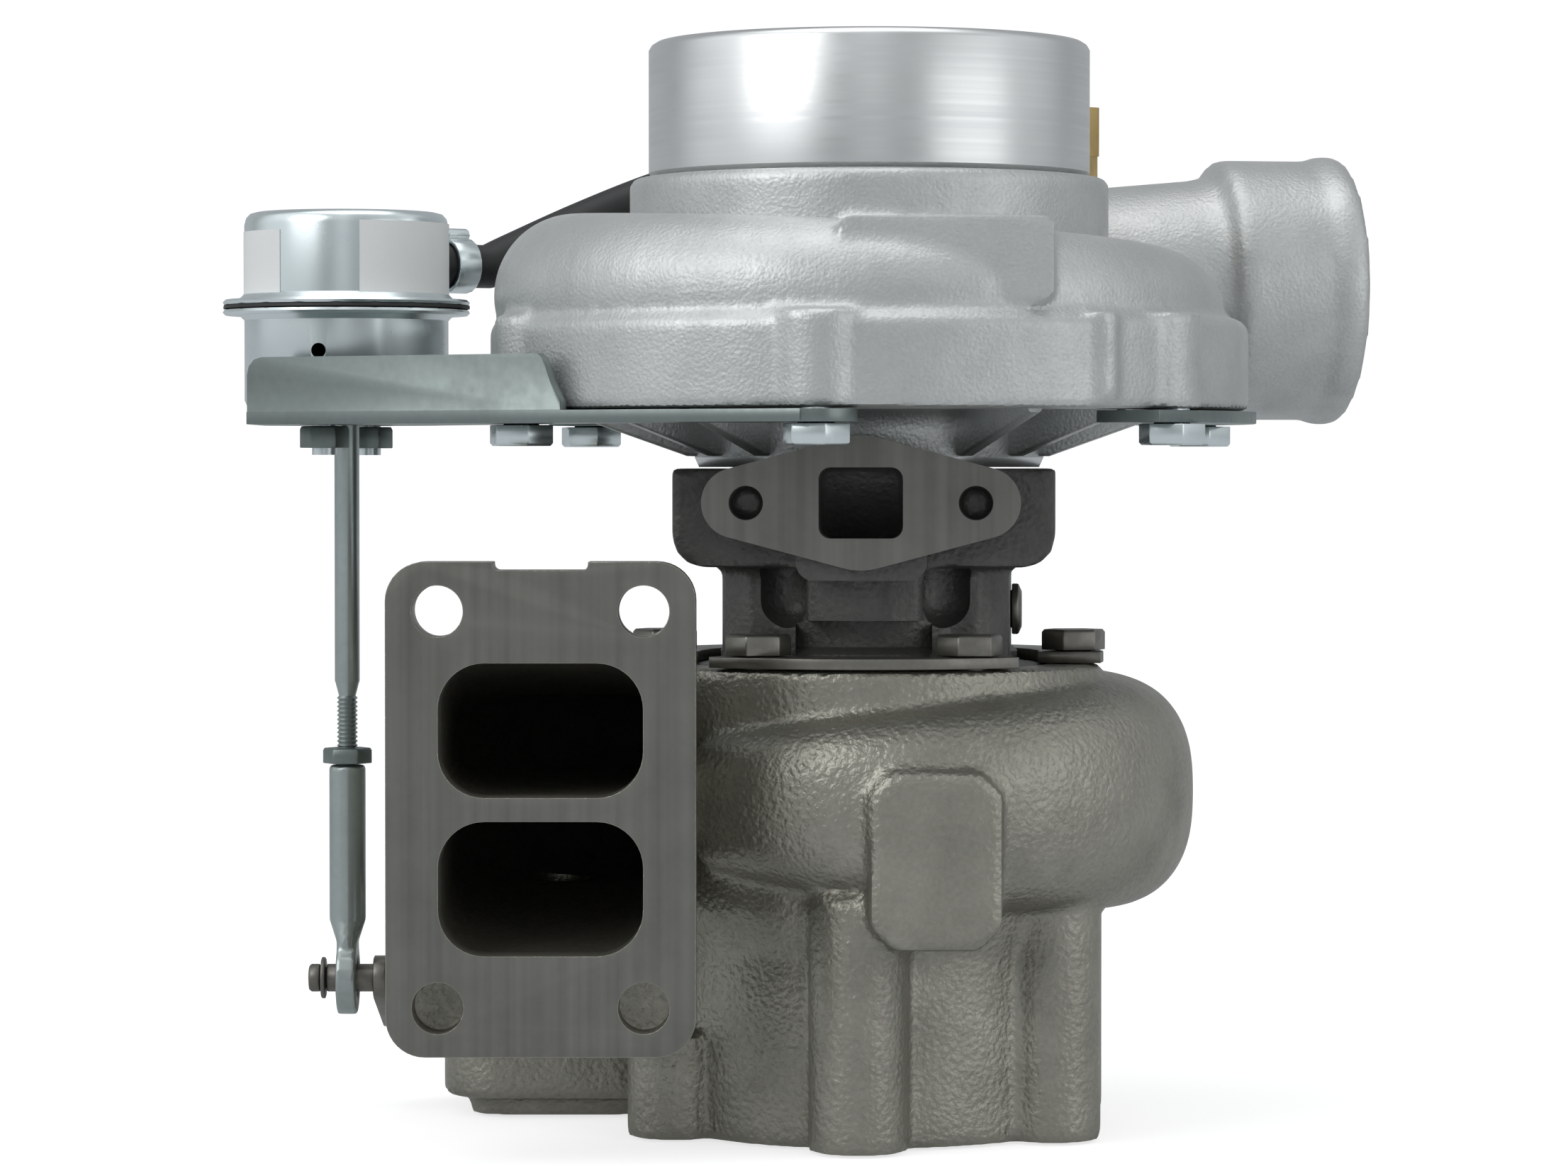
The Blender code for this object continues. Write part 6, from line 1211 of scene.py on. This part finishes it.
@dataclass
class BoostLine:
    """Boost hose from the brass fitting round the back of the inlet to the actuator."""

    radius: float = 0.0052
    block: float = 0.0115
    block_z: float = 0.2242
    gap: float = 0.0003
    straight: float = 0.0155

    def route(self, actuator: Actuator) -> list[Vector]:
        """Points of the hose's middle line in the row frame.

        Args:
            actuator: The actuator whose nipple the hose ends on.

        Returns:
            The points from the fitting to the actuator.
        """
        out, back = ray(FITTING_ANGLE + math.pi / 2), ray(actuator.nipple_angle)
        spot = shaft(FITTING_RADIUS * math.cos(FITTING_ANGLE), FITTING_RADIUS * math.sin(FITTING_ANGLE),
                     self.block_z + self.block / 2)
        start = spot + out * (self.block / 2 + self.gap)
        end = actuator.axis() + actuator.nipple_z * UP + back * (actuator.radius + 2 * self.gap)
        bends = [start + out * self.straight, shaft(0.004, 0.0650, 0.2290), shaft(-0.022, 0.0640, 0.2245),
                 shaft(-0.046, 0.0590, 0.2180), shaft(-0.067, 0.0520, 0.2095), end + back * self.straight]
        return [start] + self._smooth(bends, 6) + [end]

    @staticmethod
    def _smooth(bends: list[Vector], per_span: int) -> list[Vector]:
        """A smooth curve through the bends."""
        padded = [2 * bends[0] - bends[1]] + bends + [2 * bends[-1] - bends[-2]]
        curve: list[Vector] = []
        for before, start, end, after in zip(padded, padded[1:], padded[2:], padded[3:]):
            for step in range(per_span):
                t = step / per_span
                square = 2 * before - 5 * start + 4 * end - after
                cube = 3 * start - before - 3 * end + after
                curve.append(0.5 * (2 * start + (end - before) * t + square * t * t + cube * t ** 3))
        return curve + [bends[-1]]

    def build(self, shop: Workshop, actuator: Actuator) -> None:
        """Sweep the hose, give it rubber and let it ride on the housings in place of the CAD hose.

        Args:
            shop: The mesh tools.
            actuator: The actuator whose nipple the hose ends on.
        """
        points = self.route(actuator)
        curve = bpy.data.curves.new("boost_hose_line", "CURVE")
        curve.dimensions = "3D"
        curve.bevel_depth = self.radius
        curve.bevel_resolution = 8
        curve.use_fill_caps = True
        line = curve.splines.new("POLY")
        line.points.add(len(points) - 1)
        for point, place in zip(line.points, points):
            point.co = (*place, 1.0)
        hose = bpy.data.objects.new("boost_hose_rubber", curve)
        bpy.context.scene.collection.objects.link(hose)
        curve.materials.append(RUBBER.material(shop.groups))
        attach(hose, BODY)
        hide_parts("boost_hose")


def numbered(name: str, count: int) -> list[str]:
    """Names of like pieces, numbered from 1."""
    return [f"{name}_{index + 1}" for index in range(count)]


@dataclass
class SmallPieces:
    """Pieces that keep their solids' shape and get crisp, lightly broken edges."""

    zinc: tuple[str, ...] = (*numbered("cover_bolt", 6), "actuator_piston", "hose_clip_fitting",
                             "hose_clip_actuator")
    # Zinc pieces that get the rougher zinc finish, whose colour is darkened as painted shade
    dull_and_shaded: tuple[str, ...] = ("actuator_bracket", "cover_clamp_plate_right", "cover_clamp_plate_back",
                             *numbered("actuator_nut", 2), "rod_lock_nut")
    dark: tuple[str, ...] = (*numbered("turbine_clamp_plate", 3), *numbered("turbine_bolt", 6),
                             "center_housing_plug", "wastegate_bush", "wastegate_lever", "wastegate_shaft",
                             "wastegate_flap", "lever_pin", "lever_pin_clip", "compressor_wheel_nut",
                             "shaft_and_turbine_wheel")
    steel: tuple[str, ...] = ("compressor_wheel", "thrust_collar", "oil_slinger", "turbine_seal_ring",
                              "compressor_seal_ring", "heat_shield", "actuator_spring")
    bronze: tuple[str, ...] = ("journal_bearing_lower", "journal_bearing_upper", "thrust_bearing")
    rubber: tuple[str, ...] = ("backplate_o_ring", "actuator_diaphragm")
    brass: tuple[str, ...] = ("boost_fitting",)
    unbroken: tuple[str, ...] = ("shaft_and_turbine_wheel", "compressor_wheel", "actuator_spring",
                                 "actuator_diaphragm", "backplate_o_ring")
    broken_edge: float = 0.0003

    def build(self, shop: Workshop, frame: dict) -> None:
        """Dress every piece of the lists.

        Args:
            shop: The mesh tools.
        """
        bodies = frame["record"]["behaviour"]["bodies"]
        body_of = {node: body for body, nodes in bodies.items() for node in nodes}
        for names, finish, slot in (
                (self.zinc, ZINC, "zinc"), (self.dull_and_shaded, SHADED_DULL_ZINC, "zinc"),
                (self.dark, DARK_STEEL, "dark_steel"), (self.steel, STEEL, "steel"),
                (self.bronze, BRONZE, "bronze"), (self.rubber, RUBBER, "rubber"),
                (self.brass, BRASS, "brass")):
            for name in names:
                self._dress(shop, name, finish, body_of[name])
        spring = bpy.data.objects["actuator_spring_dressed"]
        low, high = self._reach(spring)
        spring.parent = None
        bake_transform(spring)
        forged = shop.cast("rod_end_forging", shop.copy_of("rod_end"), 0.0005, 3)
        shop.piece(forged, (ROD_ZINC,), ("rod_end",), 60.0, "rod")

    @staticmethod
    def _reach(obj: Piece) -> tuple[Vector, Vector]:
        """The middles of an upright piece's lowest and highest turns."""
        heights = [vert.co.z for vert in obj.data.vertices]
        low, high = obj.data.vertices[0].co.copy(), obj.data.vertices[0].co.copy()
        low.z, high.z = min(heights) + 0.001, max(heights) - 0.001
        return low, high

    def _dress(self, shop: Workshop, name: str, finish: Finish, body: str) -> None:
        """A smooth-shaded copy of one node, with its edges broken unless they are fine or round."""
        obj = shop.to_object(name + "_dressed", shop.copy_of(name))
        if name not in self.unbroken:
            shop.break_edges(obj, self.broken_edge, 44.0)
        shop.piece(obj, (finish,), (name,), 40.0, body)


@dataclass
class Studio:
    """White floor and backdrop, soft lights and the camera."""

    camera_place: Point = (0.0525, -1.125, 0.074)
    tilt: float = math.radians(1.33)
    lens: float = 120.0
    sensor: float = 36.0
    floor_z: float = BASE_Z - 0.0005
    lamps: tuple[tuple[str, Point, float, float], ...] = (
        ("key", (-0.75, -0.65, 0.75), 0.7, 3.4), ("fill", (0.95, -0.60, 0.30), 0.8, 1.6),
        ("top", (0.05, 0.05, 1.05), 0.8, 2.6))
    target: Point = (0.07, 0.06, 0.05)
    # Light that the white paper gives off
    glow: float = 0.72
    # Share of the white paper that metal mirrors
    mirrored: float = 0.25
    # Brightness of the surround by bearing: 0 and 1 behind, 0.25 left, 0.5 at the camera, 0.75 right
    bearings: tuple[Pair, ...] = (
        (0.0, 0.22), (0.13, 0.30), (0.24, 0.95), (0.38, 0.80), (0.455, 0.34), (0.50, 0.80), (0.545, 0.42),
        (0.66, 0.55), (0.76, 0.72), (0.88, 0.34), (1.0, 0.22))

    def build(self) -> None:
        """Set the stage."""
        self._sweep()
        for name, place, size, power in self.lamps:
            self._lamp(name, Vector(place), size, power)
        self._world()
        data = bpy.data.cameras.new("photo_camera")
        data.lens = self.lens
        data.sensor_width = self.sensor
        data.clip_end = 20.0
        camera = bpy.data.objects.new("photo_camera", data)
        camera.location = self.camera_place
        camera.rotation_euler = (math.pi / 2 - self.tilt, 0.0, 0.0)
        bpy.context.scene.collection.objects.link(camera)
        bpy.context.scene.camera = camera
        bpy.context.scene.view_settings.view_transform = "Standard"

    def _sweep(self) -> None:
        """A floor that curves up into a backdrop."""
        bm = bmesh.new()
        side = ((-3.0, self.floor_z), (1.6, self.floor_z), (2.6, self.floor_z + 1.0), (2.6, 3.0))
        verts = [bm.verts.new((-3.0, y, z)) for y, z in side]
        edges = [bm.edges.new(pair) for pair in zip(verts, verts[1:])]
        grown = bmesh.ops.extrude_edge_only(bm, edges=edges)
        moved = [item for item in grown["geom"] if isinstance(item, bmesh.types.BMVert)]
        bmesh.ops.translate(bm, vec=(6.0, 0.0, 0.0), verts=moved)
        bends = [edge for edge in bm.edges if len(edge.link_faces) == 2]
        bmesh.ops.bevel(bm, geom=bends, offset=0.6, affect="EDGES", segments=10, profile=0.5, material=-1)
        bmesh.ops.recalc_face_normals(bm, faces=bm.faces)
        sweep = Workshop.to_object("studio_sweep", bm)
        sweep.data.shade_smooth()
        sweep.data.materials.append(self._paper())

    def _paper(self) -> bpy.types.Material:
        """Paper that the camera sees white, and that throws little light on the object."""
        paper = bpy.data.materials.new("pale_paper")
        paper.use_nodes = True
        tree = paper.node_tree
        seen = tree.nodes["Principled BSDF"]
        feed(tree, seen, {"Base Color": (0.55, 0.55, 0.55, 1.0), "Roughness": 0.9,
                          "Emission Color": (1.0, 1.0, 1.0, 1.0), "Emission Strength": self.glow})
        felt = add(tree, "BsdfDiffuse", {"Color": (0.42, 0.44, 0.46, 1.0)})
        rays = add(tree, "LightPath", {})
        watched = rays.outputs["Is Camera Ray"]
        for kind, share in (("Is Glossy Ray", self.mirrored), ("Is Transmission Ray", 1.0)):
            watched = reckon(tree, "MULTIPLY_ADD", rays.outputs[kind], share, watched, clamp=True)
        mix = add(tree, "MixShader", {"Fac": watched, 1: felt.outputs["BSDF"], 2: seen.outputs["BSDF"]})
        feed(tree, tree.nodes["Material Output"], {"Surface": mix.outputs["Shader"]})
        return paper

    def _lamp(self, name: str, place: Vector, size: float, power: float) -> None:
        """A square soft box that looks at the object."""
        data = bpy.data.lights.new(name, "AREA")
        data.size = size
        data.energy = power
        lamp = bpy.data.objects.new(name, data)
        lamp.location = place
        lamp.rotation_euler = (Vector(self.target) - place).to_track_quat("-Z", "Y").to_euler()
        bpy.context.scene.collection.objects.link(lamp)

    def _world(self) -> None:
        """Soft boxes and gaps round the object, darker below; the camera sees plain white."""
        world = bpy.data.worlds.new("surround")
        world.use_nodes = True
        tree = world.node_tree
        way = add(tree, "TexCoord", {}).outputs["Generated"]
        x, y, z = add(tree, "SeparateXYZ", {"Vector": way}).outputs
        bearing = reckon(tree, "ARCTAN2", x, reckon(tree, "MULTIPLY", y, -1.0))
        share = add(tree, "MapRange", {"Value": bearing, "From Min": -math.pi, "From Max": math.pi})
        ramp = add(tree, "ValToRGB", {"Fac": share.outputs["Result"]})
        ramp.color_ramp.interpolation = "EASE"
        stops = ramp.color_ramp.elements
        while len(stops) < len(self.bearings):
            stops.new(0.5)
        for stop, (place, bright) in zip(stops, self.bearings):
            stop.position = place
            stop.color = (0.95 * bright, 0.985 * bright, bright, 1.0)
        height = add(tree, "MapRange", {"Value": z, "From Min": -0.5, "From Max": 0.6, "To Min": 0.45,
                                        "To Max": 1.05})
        sky = tree.nodes["Background"]
        feed(tree, sky, {"Color": ramp.outputs["Color"], "Strength": height.outputs["Result"]})
        plain = add(tree, "Background", {"Color": (1.0, 1.0, 1.0, 1.0)})
        watched = add(tree, "LightPath", {}).outputs["Is Camera Ray"]
        mix = add(tree, "MixShader", {"Fac": watched, 1: sky.outputs["Background"],
                                      2: plain.outputs["Background"]})
        feed(tree, tree.nodes["World Output"], {"Surface": mix.outputs["Shader"]})
        bpy.context.scene.world = world


def main() -> None:
    """Load the frame, build each sub-assembly and set the stage."""
    logging.basicConfig(level=logging.INFO, format="%(message)s")
    for obj in list(bpy.data.objects):
        bpy.data.objects.remove(obj)
    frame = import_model()
    Studio().build()
    shop = Workshop(frame, EffectGroups())
    actuator = Actuator()
    BoostLine().build(shop, actuator)
    CompressorCover().build(shop)
    TurbineHousing().build(shop)
    CenterHousing().build(shop)
    Backplate().build(shop)
    actuator.build(shop)
    SmallPieces().build(shop, frame)


if __name__ == "__main__":
    main()
